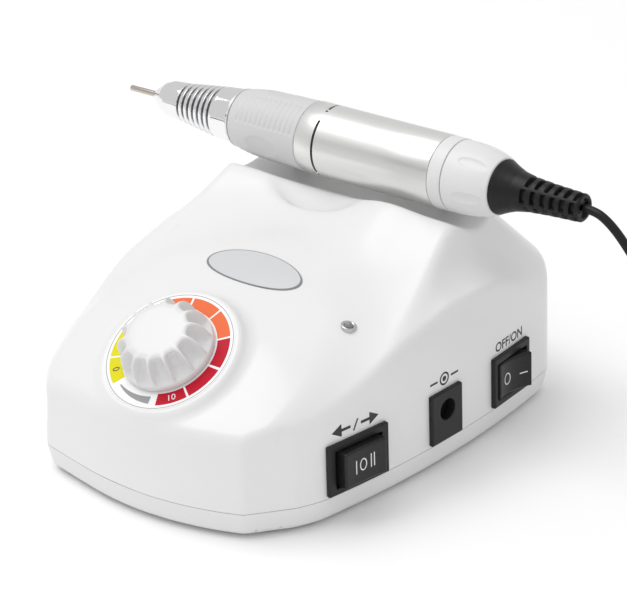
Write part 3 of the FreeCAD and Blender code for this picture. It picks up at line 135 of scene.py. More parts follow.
MATS = {
    "shell": material("shell_white", (0.80, 0.80, 0.80), 0.34, bump=0.04, scale=900, coat=0.15),
    "tray": material("tray_white", (0.78, 0.78, 0.78), 0.42, bump=0.08, scale=1200),
    "knob": material("knob_white", (0.75, 0.75, 0.75), 0.34, bump=0.04, scale=900, coat=0.2),
    "plate": material("plate_white", (0.90, 0.90, 0.90), 0.4, scale=600),
    "grey": material("grey_plastic", (0.62, 0.62, 0.62), 0.42, bump=0.12, scale=1500),
    "tail": material("tail_plastic", (0.74, 0.74, 0.745), 0.40, bump=0.10, scale=1500),
    "chrome": material("chrome", (0.86, 0.86, 0.87), 0.07, 1.0, scale=300, rough_spread=0.03),
    "aluminium": material("aluminium", (0.84, 0.84, 0.83), 0.36, 1.0, bump=0.08, scale=900,
                          stretch=(0.05, 1, 1)),
    "steel": material("steel", (0.58, 0.57, 0.56), 0.26, 1.0, bump=0.10, scale=700, stretch=(1, 0.1, 0.1)),
    "shank": material("shank_steel", (0.56, 0.50, 0.45), 0.22, 1.0, bump=0.05, scale=900,
                      stretch=(0.2, 1, 1)),
    "black": material("black_plastic", (0.014, 0.014, 0.015), 0.42, bump=0.15, scale=1600),
    "rocker": material("rocker_black", (0.014, 0.014, 0.015), 0.30, bump=0.05, scale=1200),
    "rubber": material("black_rubber", (0.010, 0.010, 0.011), 0.40, bump=0.12, scale=1400),
    "groove": material("groove_painted_shade", (0.10, 0.10, 0.105), 0.2, 1.0, scale=300),
    # A darkened copy of the chrome for the floors of the nose grooves: painted shade.
    "slit": material("slit_dark", (0.015, 0.015, 0.016), 0.5, scale=500),
    "badge": material("badge_silver", (0.80, 0.81, 0.83), 0.24, 0.6, bump=0.01, scale=60,
                      stretch=(0.2, 1, 1), rough_spread=0.02),
    "rim": material("badge_rim", (0.34, 0.34, 0.35), 0.3, 0.9, scale=300),
    "ink": material("ink_black", (0.02, 0.02, 0.022), 0.45, scale=900),
    "outline": material("ink_grey", (0.30, 0.30, 0.31), 0.5, scale=900),
    "white_ink": material("ink_white", (0.80, 0.80, 0.80), 0.45, scale=900),
    "yellow": material("print_yellow", (0.74, 0.68, 0.0), 0.45, scale=700),
    "orange": material("print_orange", (0.84, 0.16, 0.05), 0.45, scale=700),
    "red": material("print_red", (0.52, 0.0, 0.02), 0.45, scale=700),
    "brass": material("brass", (0.72, 0.55, 0.28), 0.25, 1.0, bump=0.08, scale=700),
    "copper": material("copper", (0.62, 0.30, 0.17), 0.35, 1.0, bump=0.3, scale=300, stretch=(8, 1, 1)),
    "board": material("solder_mask", (0.02, 0.16, 0.06), 0.35, bump=0.1, scale=300, speckle=0.3),
    "part": material("moulded_black", (0.03, 0.03, 0.034), 0.35, bump=0.12, scale=900),
    "relay": material("relay_blue", (0.03, 0.13, 0.40), 0.35, bump=0.05, scale=600),
    "core": material("laminations", (0.12, 0.12, 0.13), 0.45, 0.8, bump=0.5, scale=300, stretch=(1, 12, 0.2)),
    "tape": material("winding_tape", (0.60, 0.40, 0.08), 0.4, bump=0.2, scale=250, stretch=(1, 1, 8)),
    "magnet": material("magnet", (0.07, 0.07, 0.075), 0.5, 0.6, bump=0.15, scale=700),
    "lens": material("led_lens", (0.55, 0.60, 0.58), 0.08, scale=300),
}
MATS["lens"].node_tree.nodes["Principled BSDF"].inputs["Transmission Weight"].default_value = 0.6
for level, names in ((0.3, ("black", "rocker")), (0.28, ("rubber",)), (0.2, ("yellow", "orange", "red"))):
    for name in names:
        MATS[name].node_tree.nodes["Principled BSDF"].inputs["Specular IOR Level"].default_value = level


# Mesh building
def piece(name, verts, faces, mat, body, place=None, sharp=32.0, node=None):
    """A mesh from millimetre points, set in its frame and on its body."""
    mesh = bpy.data.meshes.new(name)
    points = np.asarray(verts, float)
    if place is not None:
        rows = np.array(place)
        points = points @ rows[:3, :3].T + rows[:3, 3]
    mesh.from_pydata((points * MM).tolist(), [], faces if isinstance(faces, list) else faces.tolist())
    mesh.update()
    made = bpy.data.objects.new(name, mesh)
    bpy.context.scene.collection.objects.link(made)
    for one in mat if isinstance(mat, (list, tuple)) else [mat]:
        mesh.materials.append(MATS[one])
    mesh.shade_smooth()
    if sharp:
        mesh.set_sharp_from_angle(angle=math.radians(sharp))
    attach(made, body)
    if node:
        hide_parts(*([node] if isinstance(node, str) else node))
    return made


def grid_faces(rows, columns, closed_columns=True, flip=False):
    """Quads of a grid of points, row by row."""
    i = np.arange(rows - 1)[:, None]
    last = columns if closed_columns else columns - 1
    j = np.arange(last)[None, :]
    k = (j + 1) % columns
    quads = np.stack([i * columns + j, i * columns + k, (i + 1) * columns + k, (i + 1) * columns + j], -1)
    quads = quads.reshape(-1, 4)
    return quads[:, ::-1] if flip else quads


def eased(points, radius, steps=4):
    """A (station, radius) outline with its corners rounded."""
    radii = radius if isinstance(radius, (list, tuple)) else [radius] * len(points)
    out = [points[0]]
    for before, corner, after, r in zip(points, points[1:], points[2:], radii[1:]):
        a, b, c = (np.array(p, float) for p in (before, corner, after))
        u, v = a - b, c - b
        lu, lv = np.linalg.norm(u), np.linalg.norm(v)
        if lu < 1e-6 or lv < 1e-6 or r <= 0:
            out.append(tuple(b))
            continue
        u, v = u / lu, v / lv
        half = math.acos(max(-1, min(1, float(u @ v)))) / 2
        if half > math.radians(87):
            out.append(tuple(b))
            continue
        back = min(r / math.tan(half), 0.45 * lu, 0.45 * lv)
        for s in range(steps + 1):
            t = s / steps
            out.append(tuple((1 - t) ** 2 * (b + u * back) + 2 * t * (1 - t) * b + t ** 2 * (b + v * back)))
    out.append(points[-1])
    return out


def refined(outline, step):
    """The outline with long runs cut into short ones."""
    out = [outline[0]]
    for a, b in zip(outline, outline[1:]):
        count = max(1, int(math.dist(a, b) / step))
        for i in range(1, count + 1):
            out.append((a[0] + (b[0] - a[0]) * i / count, a[1] + (b[1] - a[1]) * i / count))
    return out


def lathe(name, outline, mat, body, place, node=None, around=96, change=None, sharp=32.0, paint=None):
    """A piece turned about its own X axis. By station and angle, change alters its radius and paint
    picks its material slot."""
    outline = np.array(outline, float)
    angles = np.linspace(0, 2 * math.pi, around, endpoint=False)
    s = np.repeat(outline[:, :1], around, 1)
    r = np.repeat(outline[:, 1:], around, 1)
    a = np.repeat(angles[None, :], len(outline), 0)
    if change is not None:
        r = change(s, r, a)
    points = np.stack([s, r * np.cos(a), r * np.sin(a)], -1).reshape(-1, 3)
    faces = grid_faces(len(outline), around, flip=True)
    made = piece(name, points, faces, mat, body, place, sharp, node)
    if paint is not None:
        mid_s = (s[:-1] + s[1:]) / 2
        mid_r = (r[:-1] + r[1:]) / 2
        mid_a = a[:-1] + math.pi / around
        made.data.polygons.foreach_set("material_index", paint(mid_s, mid_r, mid_a).astype(int).ravel())
    return made


def smooth_max(a, b, k):
    h = np.maximum(k - np.abs(a - b), 0) / k
    return np.maximum(a, b) + h * h * k / 4


def smooth_min(a, b, k):
    return -smooth_max(-a, -b, k)


def contour(field, low, high, step):
    """A mesh where the field is zero. Each cell it crosses gets one point, set where the field's
    slopes meet, so that edges stay crisp."""
    axes = [np.arange(low[i], high[i] + step, step) for i in range(3)]
    origin = np.array([axis[0] for axis in axes])
    shape = [len(axis) for axis in axes]
    values = np.empty(shape)
    x, y = np.meshgrid(axes[0], axes[1], indexing="ij")
    for k, z in enumerate(axes[2]):
        values[:, :, k] = field(x.ravel(), y.ravel(), np.full(x.size, z)).reshape(x.shape)
    inside = values < 0
    count = np.zeros([n - 1 for n in shape], np.int8)
    for dx in (0, 1):
        for dy in (0, 1):
            for dz in (0, 1):
                count += inside[dx:shape[0] - 1 + dx, dy:shape[1] - 1 + dy, dz:shape[2] - 1 + dz]
    used = (count > 0) & (count < 8)
    index = np.full(count.shape, -1, np.int64)
    where = np.argwhere(used)
    total = len(where)
    index[used] = np.arange(total)
    sums = np.zeros((13, total))
    quads = []
    for axis in range(3):
        one, two = (axis + 1) % 3, (axis + 2) % 3
        a = [slice(None)] * 3
        b = [slice(None)] * 3
        a[axis], b[axis] = slice(0, -1), slice(1, None)
        edge = np.argwhere(inside[tuple(a)] != inside[tuple(b)])
        ok = (edge[:, one] > 0) & (edge[:, two] > 0)
        ok &= (edge[:, one] < shape[one] - 1) & (edge[:, two] < shape[two] - 1)
        edge = edge[ok]
        if not len(edge):
            continue
        first = inside[tuple(edge.T)]
        start = origin + edge * step
        fa = values[tuple(edge.T)]
        after = edge.copy()
        after[:, axis] += 1
        fb = values[tuple(after.T)]
        low_t, high_t = np.zeros(len(edge)), np.ones(len(edge))
        for _ in range(3):
            t = low_t + (high_t - low_t) * np.clip(fa / (fa - fb), 0.08, 0.92)
            p = start.copy()
            p[:, axis] += t * step
            f = field(*p.T)
            same = (f < 0) == (fa < 0)
            low_t, fa = np.where(same, t, low_t), np.where(same, f, fa)
            high_t, fb = np.where(same, high_t, t), np.where(same, fb, f)
        p = start.copy()
        p[:, axis] += (low_t + (high_t - low_t) * fa / (fa - fb)) * step
        h = step * 0.02
        slope = np.stack([field(*(p + d).T) - field(*(p - d).T) for d in np.eye(3) * h], -1)
        slope /= np.maximum(np.linalg.norm(slope, axis=1, keepdims=True), 1e-12)
        reach = (slope * p).sum(1)
        rows = [slope[:, i] * slope[:, j] for i, j in ((0, 0), (0, 1), (0, 2), (1, 1), (1, 2), (2, 2))]
        rows += [slope[:, i] * reach for i in range(3)] + [p[:, i] for i in range(3)] + [np.ones(len(p))]
        around = []
        for do, dt in ((-1, -1), (0, -1), (0, 0), (-1, 0)):
            cell = edge.copy()
            cell[:, one] += do
            cell[:, two] += dt
            ids = index[tuple(cell.T)]
            around.append(ids)
            for n, row in enumerate(rows):
                sums[n] += np.bincount(ids, row, total)
        quad = np.stack(around, 1)
        quad[~first] = quad[~first][:, ::-1]
        quads.append(quad)
    xx, xy, xz, yy, yz, zz = sums[:6]
    matrix = np.stack([xx, xy, xz, xy, yy, yz, xz, yz, zz], -1).reshape(-1, 3, 3)
    middle = sums[9:12].T / np.maximum(sums[12], 1)[:, None]
    side = sums[6:9].T - np.einsum("nij,nj->ni", matrix, middle)
    points = middle + np.linalg.solve(matrix + np.eye(3) * 0.06, side[..., None])[..., 0]
    corner = origin + where * step
    return np.clip(points, corner - 0.2 * step, corner + 1.2 * step), np.concatenate(quads)


# The outline of the base seen from above
def plan_outline():
    points = []
    for t in np.linspace(0, 1, 24):
        a = math.asin((HALF_WIDTH - FACET_INSET) / FRONT_ARC) * t
        points.append((FRONT_ARC * math.sin(a), FRONT + FRONT_ARC * (1 - math.cos(a))))
    corner = (HALF_WIDTH - 10.9, FRONT + 23.6)
    points.append(corner)
    side_start, side_end = FRONT + 34.1, REAR - REAR_CORNER
    points.append((wall_x(side_start) - 1.6, (corner[1] + side_start) / 2 + 0.6))
    for y in np.linspace(side_start, side_end, 60):
        points.append((wall_x(y), y))
    rear = (HALF_WIDTH - REAR_INSET, REAR - REAR_DROP)
    centre = (50.0, 68.4)
    a0 = math.atan2(side_end - centre[1], wall_x(side_end) - centre[0])
    a1 = math.atan2(rear[1] - centre[1], rear[0] - centre[0])
    r0, r1 = math.dist(centre, points[-1]), math.dist(centre, rear)
    for t in np.linspace(0, 1, 14)[1:]:
        a, r = a0 + (a1 - a0) * t, r0 + (r1 - r0) * t
        points.append((centre[0] + r * math.cos(a), centre[1] + r * math.sin(a)))
    for t in np.linspace(0, 1, 16)[1:]:
        x = rear[0] * (1 - t)
        points.append((x, REAR - REAR_ARC + math.sqrt(REAR_ARC ** 2 - x * x)))
    half = np.array(points)
    other = half[1:-1][::-1] * (-1, 1)
    near = np.exp(-((other[:, :1] + 50.0) ** 2 + (other[:, 1:] + 66.0) ** 2) / 17.0 ** 2)
    return np.concatenate([half, other + near * (-3.6, -3.0)])


def plan_distance(step=0.5, margin=8.0, blur=3):
    """Signed distance to the outline on a fine grid, with its corners eased."""
    outline = plan_outline()
    xs = np.arange(-HALF_WIDTH - margin, HALF_WIDTH + margin, step)
    ys = np.arange(FRONT - margin, REAR + margin, step)
    x, y = np.meshgrid(xs, ys, indexing="ij")
    best = np.full(x.shape, 1e9)
    inside = np.zeros(x.shape, bool)
    for (ax, ay), (bx, by) in zip(outline, np.roll(outline, -1, 0)):
        dx, dy = bx - ax, by - ay
        t = np.clip(((x - ax) * dx + (y - ay) * dy) / (dx * dx + dy * dy), 0, 1)
        best = np.minimum(best, (x - ax - t * dx) ** 2 + (y - ay - t * dy) ** 2)
        cross = (ay > y) != (by > y)
        inside ^= cross & (x < (bx - ax) * (y - ay) / (by - ay if by != ay else 1) + ax)
    d = np.sqrt(best) * np.where(inside, -1, 1)
    for _ in range(blur):
        for axis in (0, 1):
            padded = np.pad(d, [(2, 2) if n == axis else (0, 0) for n in (0, 1)], mode="edge")
            cuts = [np.take(padded, range(i, i + d.shape[axis]), axis) for i in range(5)]
            d = (cuts[0] + 4 * cuts[1] + 6 * cuts[2] + 4 * cuts[3] + cuts[4]) / 16
    return xs[0], ys[0], step, d


PLAN = plan_distance()


def plan_at(x, y):
    x0, y0, step, d = PLAN
    u = np.clip((x - x0) / step, 0, d.shape[0] - 1.001)
    v = np.clip((y - y0) / step, 0, d.shape[1] - 1.001)
    i, j = u.astype(int), v.astype(int)
    u, v = u - i, v - j
    return (d[i, j] * (1 - u) * (1 - v) + d[i + 1, j] * u * (1 - v)
            + d[i, j + 1] * (1 - u) * v + d[i + 1, j + 1] * u * v)


# Hood sections: y, centre height, shoulder half width, shoulder height, crease height at the wall
HOOD = np.array([
    (-100.0, 22.0, 30.0, 14.0, 4.0),
    (-84.0, 38.0, 40.0, 29.0, 16.0),
    (-78.0, 43.0, 47.0, 34.0, 21.0),
    (-67.0, 49.2, 49.5, 40.5, 30.0),
    (-49.0, 60.0, 53.2, 47.5, 40.0),
    (-15.0, 68.1, 54.4, 58.5, 54.0),
    (13.0, 71.4, 54.5, 64.0, 62.5),
    (40.0, 72.0, 54.0, 63.0, 60.0),
    (62.0, 66.0, 52.0, 54.5, 48.5),
    (74.0, 56.0, 49.5, 44.8, 38.0),
    (84.0, 43.0, 46.0, 35.5, 27.5),
    (100.0, 20.0, 40.0, 16.0, 8.0),
])


def soft_table(table, step=0.5, width=4.0):
    """The sections drawn out finely along y, with the bends between them eased."""
    ys = np.arange(table[0, 0], table[-1, 0] + step, step)
    reach = int(3 * width / step)
    weights = np.exp(-0.5 * (np.arange(-reach, reach + 1) * step / width) ** 2)
    weights /= weights.sum()
    columns = []
    for c in range(1, table.shape[1]):
        line = np.interp(ys, table[:, 0], table[:, c])
        left = line[0] + (line[1] - line[0]) * np.arange(-reach, 0)
        right = line[-1] + (line[-1] - line[-2]) * np.arange(1, reach + 1)
        columns.append(np.convolve(np.concatenate([left, line, right]), weights, "valid"))
    return ys, columns


HOOD_Y, HOOD_COLUMNS = soft_table(HOOD)


def hood(x, y):
    """Height of the hood, with its crown and its side bands, and the slope at the place."""
    centre, half, shoulder, crease = (np.interp(y, HOOD_Y, column) for column in HOOD_COLUMNS)
    side = np.abs(x) + 2.0 * np.exp(-((y - 5.0) / 24.0) ** 2) * np.clip(-x / 25.0, 0, 1)
    crown = centre - (centre - shoulder) * (side / half) ** 2
    wall = HALF_WIDTH - SIDE_ARC + np.sqrt(np.maximum(SIDE_ARC ** 2 - (y - SIDE_CENTRE_Y) ** 2, 1))
    slope = (shoulder - crease) / np.maximum(wall - half, 1.0)
    band = shoulder - (side - half) * slope
    return smooth_min(crown, band, 5.0), slope


def in_frame(place, x, y, z):
    """Points of the base in another frame's axes."""
    rows = np.array((BASE.inverted() @ place).inverted())
    return tuple(rows[i, 0] * x + rows[i, 1] * y + rows[i, 2] * z + rows[i, 3] for i in range(3))


EDGE = 3.5


def hood_field(x, y, z):
    """About the distance to the hood, inside the outline of the base."""
    top, slope = hood(x, y)
    steep = np.sqrt(1 + np.where(np.abs(x) > 50, slope, 0.4) ** 2)
    return smooth_max((z - top) / steep, plan_at(x, y), EDGE)


RIDGE_FRONT, RIDGE_REAR, RIDGE_HALF, FRONT_SLOPE = 33.0, 57.8, 50.5, 0.594


def ridge_top(x):
    """Height of the cradle's rim, which dips at the scoop and swells right of it."""
    return 80.4 + 3.2 * np.exp(-((x - 24) / 12) ** 2) - 2.8 * np.exp(-((x + 8) / 14) ** 2)


def front_slope(x, y, z):
    """Distance down the front slope from the rim, and height above that slope."""
    below, ahead, steep = ridge_top(x) - z, RIDGE_FRONT - y, math.hypot(1, FRONT_SLOPE)
    return (ahead + below * FRONT_SLOPE) / steep, (ahead * FRONT_SLOPE - below) / steep


def ridge_field(x, y, z):
    """The cradle block: sloping in front, behind and at both ends, with eased edges."""
    top = ridge_top(x)
    front = front_slope(x, y, z)[1]
    rear = (z - top + (y - RIDGE_REAR) * 1.15) / math.hypot(1, 1.15)
    end = (z - top + (np.abs(x) - RIDGE_HALF) * 2.6) / math.hypot(1, 2.6)
    corner = smooth_max(rear, end, 16.0)
    sides = smooth_max(smooth_max(front, end, 5.0), corner, 3.0)
    return smooth_max(z - top, sides, 4.0)


SEAT = BARREL + SEAT_GAP
TROUGH, TROUGH_DROP = 17.0, 0.6


def trough_field(x, y, z):
    """The channel under the handpiece, with two low ribs that the barrel lies on."""
    hx, hy, hz = in_frame(HAND, x, y, z)
    rib = np.maximum(SEAT - np.hypot(hy, hz), np.abs(np.abs(hx) - 33.0) - 2.0)
    rib = np.maximum(rib, 4.0 - hy)
    return np.maximum(np.hypot(hy, hz + TROUGH_DROP) - TROUGH, -rib)


def scoop_field(x, y, z):
    """A shallow dish for a fingertip in the front slope, below the rim."""
    down, lift = front_slope(x, y, z)
    half, reach, depth = 20.5, 10.5, 3.0
    return (np.sqrt(((x + 10.5) / half) ** 2 + (down / reach) ** 2 + (lift / depth) ** 2) - 1) * depth


def box_field(p, half):
    q = [np.abs(v) - h for v, h in zip(p, half)]
    return np.maximum(np.maximum(q[0], q[1]), q[2])


def top_form(x, y, z):
    """The outside of the top: hood, cradle and dial pad, less the scoop and the trough."""
    body = smooth_min(hood_field(x, y, z), ridge_field(x, y, z), 9.0)
    dx, dy, dz = in_frame(DIAL, x, y, z)
    r = np.hypot(dx, dy)
    pad = smooth_max(np.maximum(r - 26.0, -dz - 12.0), dz, 2.4)
    body = smooth_min(body, pad, 5.0)
    body = smooth_max(body, -smooth_max(r - 24.6, -dz, 1.5), 0.8)
    body = smooth_max(body, plan_at(x, y), 3.0)
    body = smooth_max(body, -scoop_field(x, y, z), 1.2)
    return smooth_max(body, -trough_field(x, y, z), 1.6)


WALL = 2.6
SEAM_GAP = 0.2


def upper_field(x, y, z):
    """The top as a shell, with its openings for the switches, socket, inlet and indicator."""
    outside = top_form(x, y, z)
    shell = np.maximum(outside, -(outside + WALL))
    shell = np.maximum(shell, SEAM + SEAM_GAP - z)
    for place, depth, wide, tall in ((DIRECTION, 9.0, 12.1, 8.2), (POWER, 9.0, 10.2, 8.2)):
        shell = np.maximum(shell, -box_field(in_frame(place, x, y, z), (depth, wide, tall)))
    mx, my, mz = in_frame(MOTOR, x, y, z)
    shell = np.maximum(shell, -np.maximum(np.hypot(my, mz - 2.2) - 6.7, np.abs(mx) - 9))
    shell = np.maximum(shell, -box_field(in_frame(INLET, x, y, z), (11.2, 12.0, 6.7)))
    ix, iy, iz = in_frame(INLET, x, y, z)
    shell = np.maximum(shell, -box_field((ix, iy - 4.0, iz), (13.2, 5.5, 8.7)))
    lx, ly, lz = in_frame(LED, x, y, z)
    return np.maximum(shell, -np.maximum(np.hypot(lx, ly) - 2.5, np.abs(lz) - 6))


FEET = [(s * x, y) for x, y in ((38.0, FRONT + 40.0), (44.0, REAR - 34.0)) for s in (-1, 1)]
POSTS = [(s * x, y) for x, y in ((40.0, FRONT + 24.0), (50.0, REAR - 18.0)) for s in (-1, 1)]


BOSS_RADIUS, WELL_RADIUS, FOOT_RECESS = 5.0, 3.2, 6.2
VENTS, VENT_PITCH, VENT_HALF = 7, 6.0, 0.75


def lower_field(x, y, z):
    """The tray, with its screw bosses and wells, foot recesses and vents."""
    up = np.clip((z - FLOOR) / (SEAM - FLOOR), -0.5, 1.2)
    outside = smooth_max(plan_at(x, y) + 2.0 * (1 - up), FLOOR - z, 3.0)
    hollow = np.maximum(plan_at(x, y) + WALL, FLOOR + 2.4 - z)
    tray = np.maximum(np.maximum(outside, z - SEAM), -hollow)
    for px, py in POSTS:
        r = np.hypot(x - px, y - py)
        tray = np.minimum(tray, np.maximum(r - BOSS_RADIUS, np.abs(z - 7.5) - 5.3))
        tray = np.maximum(tray, -np.maximum(r - WELL_RADIUS, z - 5.0))
    for px, py in FEET:
        tray = np.maximum(tray, -np.maximum(np.hypot(x - px, y - py) - FOOT_RECESS, z - 3.0))
    for n in range(VENTS):
        slot = np.maximum(np.abs(x - 14.75 - VENT_PITCH * n) - VENT_HALF, np.abs(y - 19.0) - 14.0)
        tray = np.maximum(tray, -np.maximum(slot, z - 6.0))
    return tray


FINE = 0.75
points, quads = contour(upper_field, (-68, -87, 9.6), (68, 87, 84.5), FINE)
piece("upper_shell_skin", points, quads, "shell", "base", BASE, 40, "upper_shell")
points, quads = contour(lower_field, (-68, -87, 0.9), (68, 87, 13.6), FINE)
piece("lower_shell_skin", points, quads, "tray", "base", BASE, 40, "lower_shell")


# Cord: the same points as the part's source, then the coil, as one line
D = 3.2
LAY = D / 2 + 0.05
EXIT = (TURNED @ Vector((203.4, 0, 0)))
AXIS = (HAND.to_3x3() @ Vector((1, 0, 0)))
COIL_X, COIL_Y, PITCH, TURNS = 182.0, 80.0, 3.7, 4.25
COIL_OUT = 19.2 + PITCH * TURNS / 2
ROUTE = [
    EXIT, EXIT + AXIS * 3.4, Vector((109.58, 47.59, 92.06)), Vector((115.8, 47.9, 87.1)),
    Vector((124.4, 48.6, 76.0)), Vector((133.0, 49.9, 56.4)), Vector((138.8, 51.3, 35.8)),
    Vector((146.0, 52.4, 16.6)),
    Vector((156.5, 52.7, 4.2)), Vector((168.0, COIL_Y - COIL_OUT, LAY)),
    Vector((COIL_X - D, COIL_Y - COIL_OUT, LAY)),
]
PER_TURN = 24
steps = int(2 * TURNS * PER_TURN)
for n in range(steps + 1):
    angle = n / PER_TURN
    radial = angle if angle <= TURNS else 2 * TURNS - angle
    radius = (COIL_OUT - PITCH * radial) / (1 if n in (0, steps) else math.cos(math.pi / PER_TURN))
    climb = min(1.0, max(0.0, (angle - TURNS) / 0.5 + 0.5))
    height = LAY + PITCH * climb * climb * (3 - 2 * climb)
    swing = 2 * math.pi * angle - math.pi / 2
    ROUTE.append(Vector((COIL_X + radius * math.cos(swing), COIL_Y + radius * math.sin(swing), height)))
ROUTE.append(ROUTE[-1] + Vector((-D, 0, 0)))


def cord_line(points):
    """The centre line drawn out from a soft curve through the route."""
    curve = bpy.data.curves.new("cord_line", "CURVE")
    curve.dimensions = "3D"
    curve.resolution_u = 8
    spline = curve.splines.new("NURBS")
    spline.points.add(len(points) - 1)
    for target, point in zip(spline.points, points):
        target.co = (*(point * MM), 1)
    spline.order_u = 3
    spline.use_endpoint_u = True
    holder = bpy.data.objects.new("cord_line", curve)
    bpy.context.scene.collection.objects.link(holder)
    bpy.context.view_layer.update()
    mesh = bpy.data.meshes.new_from_object(holder)
    line = np.array([v.co for v in mesh.vertices]) / MM
    bpy.data.objects.remove(holder)
    keep = [0]
    for n in range(1, len(line)):
        if np.linalg.norm(line[n] - line[keep[-1]]) > 0.4:
            keep.append(n)
    return line[keep]


def sweep(line, radius, around):
    """Rings along a line, carried without twist."""
    ahead = np.gradient(line, axis=0)
    ahead /= np.linalg.norm(ahead, axis=1, keepdims=True)
    side = np.cross(ahead[0], (0, 0, 1.0))
    side /= np.linalg.norm(side)
    rings = []
    angles = np.linspace(0, 2 * math.pi, around, endpoint=False)
    for n in range(len(line)):
        side = side - ahead[n] * (side @ ahead[n])
        side /= np.linalg.norm(side)
        up = np.cross(ahead[n], side)
        r = radius[n] if hasattr(radius, "__len__") else radius
        rings.append(line[n] + r * (np.cos(angles)[:, None] * side + np.sin(angles)[:, None] * up))
    return np.concatenate(rings), grid_faces(len(line), around)


LINE = cord_line(ROUTE)
points, quads = sweep(LINE, D / 2, 20)
mesh = bpy.data.meshes.new("motor_cord")
mesh.from_pydata((points * MM).tolist(), [], quads.tolist())
mesh.materials.append(MATS["rubber"])
mesh.shade_smooth()
cord = bpy.data.objects.new("motor_cord", mesh)
bpy.context.scene.collection.objects.link(cord)
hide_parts("cord_run", "cord_coil")
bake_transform(cord)


# Camera
def camera():
    azimuth, elevation, roll, distance = math.radians(39.97), math.radians(26.33), math.radians(-1.68), 1500.0
    target = Vector((-27.06 + BASE_X, 49.2, 21.63))
    right = Vector((math.cos(azimuth), math.sin(azimuth), 0))
    back = Vector((math.sin(azimuth) * math.cos(elevation), -math.cos(azimuth) * math.cos(elevation),
                   math.sin(elevation)))
    up = back.cross(right)
    right, up = (right * math.cos(roll) + up * math.sin(roll), up * math.cos(roll) - right * math.sin(roll))
    data = bpy.data.cameras.new("camera")
    data.sensor_width = 36.0
    data.lens = 4083.33 / 627.0 * 36.0
    data.shift_x = -(314.47 - 313.5) / 627.0
    data.clip_start, data.clip_end = 0.05, 30.0
    made = bpy.data.objects.new("camera", data)
    bpy.context.scene.collection.objects.link(made)
    made.matrix_world = Matrix((
        (right.x, up.x, back.x, (target.x + back.x * distance) * MM),
        (right.y, up.y, back.y, (target.y + back.y * distance) * MM),
        (right.z, up.z, back.z, (target.z + back.z * distance) * MM),
        (0, 0, 0, 1)))
    bpy.context.scene.camera = made


camera()


# Speed dial
def disc(name, radius, low, high, mat, place, body, node=None, bevel=0.15, around=96):
    outline = eased([(low, 0.001), (low, radius), (high, radius), (high, 0.001)], bevel, 3)
    upright = place @ turn("Y", -90)
    return lathe(name, outline, mat, body, upright, node, around)


disc("dial_plate_white", 24.0, -0.4, 0.1, "plate", DIAL, "base", "dial_plate", 0.05, 160)


def sector(name, start, end, inner, outer, height, mat, place, body):
    """A flat printed patch between two angles and two radii."""
    count = max(2, int(abs(end - start) / 2))
    angles = np.radians(np.linspace(start, end, count + 1))
    rings = [np.stack([r * np.cos(angles), r * np.sin(angles), np.full(count + 1, height)], -1)
             for r in (inner, outer)]
    faces = [(n, n + count + 1, n + count + 2, n + 1) for n in range(count)]
    return piece(name, np.concatenate(rings), faces, mat, body, place, None)


sector("dial_outline", 0, 360, 23.35, 23.6, 0.115, "outline", DIAL, "base")
BAND_IN, BAND_OUT = 17.6, 22.3
PRINTED = [(-124.0, -153.4, "yellow"), (-155.4, -186.0, "yellow"), (172.0, 136.0, "yellow"),
           (134.4, 102.6, "orange"), (100.4, 69.3, "orange"), (67.4, 35.6, "orange"),
           (33.4, 1.2, "red"), (-1.4, -36.2, "red"), (-38.4, -68.6, "red")]
for n, (start, end, mat) in enumerate(PRINTED):
    sector(f"dial_print_{n}", end, start, BAND_IN, BAND_OUT, 0.12, mat, DIAL, "base")


def text_mesh(name, text, size, extrude=0.0, offset=0.0):
    """The points and faces of a line of text, centred on its origin."""
    curve = bpy.data.curves.new(name, "FONT")
    curve.body = text
    curve.size = size
    curve.align_x, curve.align_y = "CENTER", "CENTER"
    curve.extrude, curve.offset = extrude, offset
    holder = bpy.data.objects.new(name + "_text", curve)
    bpy.context.scene.collection.objects.link(holder)
    bpy.context.view_layer.update()
    mesh = bpy.data.meshes.new_from_object(holder)
    bpy.data.objects.remove(holder)
    return np.array([v.co[:] for v in mesh.vertices]), [list(p.vertices) for p in mesh.polygons]


def lettering(name, text, size, mat, place, body, depth=0.05):
    """Plain figures as a thin raised print, centred on their frame."""
    points, faces = text_mesh(name, text, size, extrude=depth / 2)
    return piece(name, points, faces, mat, body, place, 30)


def on_dial(angle, radius, height=0.14):
    return DIAL @ turn("Z", angle) @ move(radius, 0, height) @ turn("Z", 90)


lettering("dial_figure_0", "0", 3.6, "ink", on_dial(-139, 20.0), "base")
lettering("dial_figure_10", "10", 3.4, "white_ink", on_dial(-53, 20.0), "base")


def wedge(start, end, radius, thin, thick, height, count=24):
    """A mark along the dial that grows from thin to thick."""
    angles = np.radians(np.linspace(start, end, count + 1))
    spread = np.linspace(thin, thick, count + 1)
    sides = [np.stack([r * np.cos(angles), r * np.sin(angles), np.full(count + 1, height)], -1)
             for r in (radius - spread, radius + spread)]
    piece("dial_wedge", np.concatenate(sides),
          [(n, n + count + 1, n + count + 2, n + 1) for n in range(count)], "outline", "base", DIAL, None)


wedge(-118, -76, 20.2, 0.25, 1.5, 0.12)

FLUTES = 14


def fluted(s, r, a):
    """Scoops between thin fins, from the rim of the crown down to the skirt."""
    phase = np.abs(((a / (2 * math.pi) * FLUTES + 0.18) % 1.0) - 0.5) * 2
    scoop = np.clip(1 - (phase / 0.9) ** 4, 0, 1) ** 0.8
    depth = np.interp(s, (3.2, 4.2, 6.0, 9.0, 11.0, 12.4, 12.9), (0.0, 2.0, 3.8, 4.4, 3.4, 1.3, 0.0))
    return r - depth * scoop * (r > 9.6)


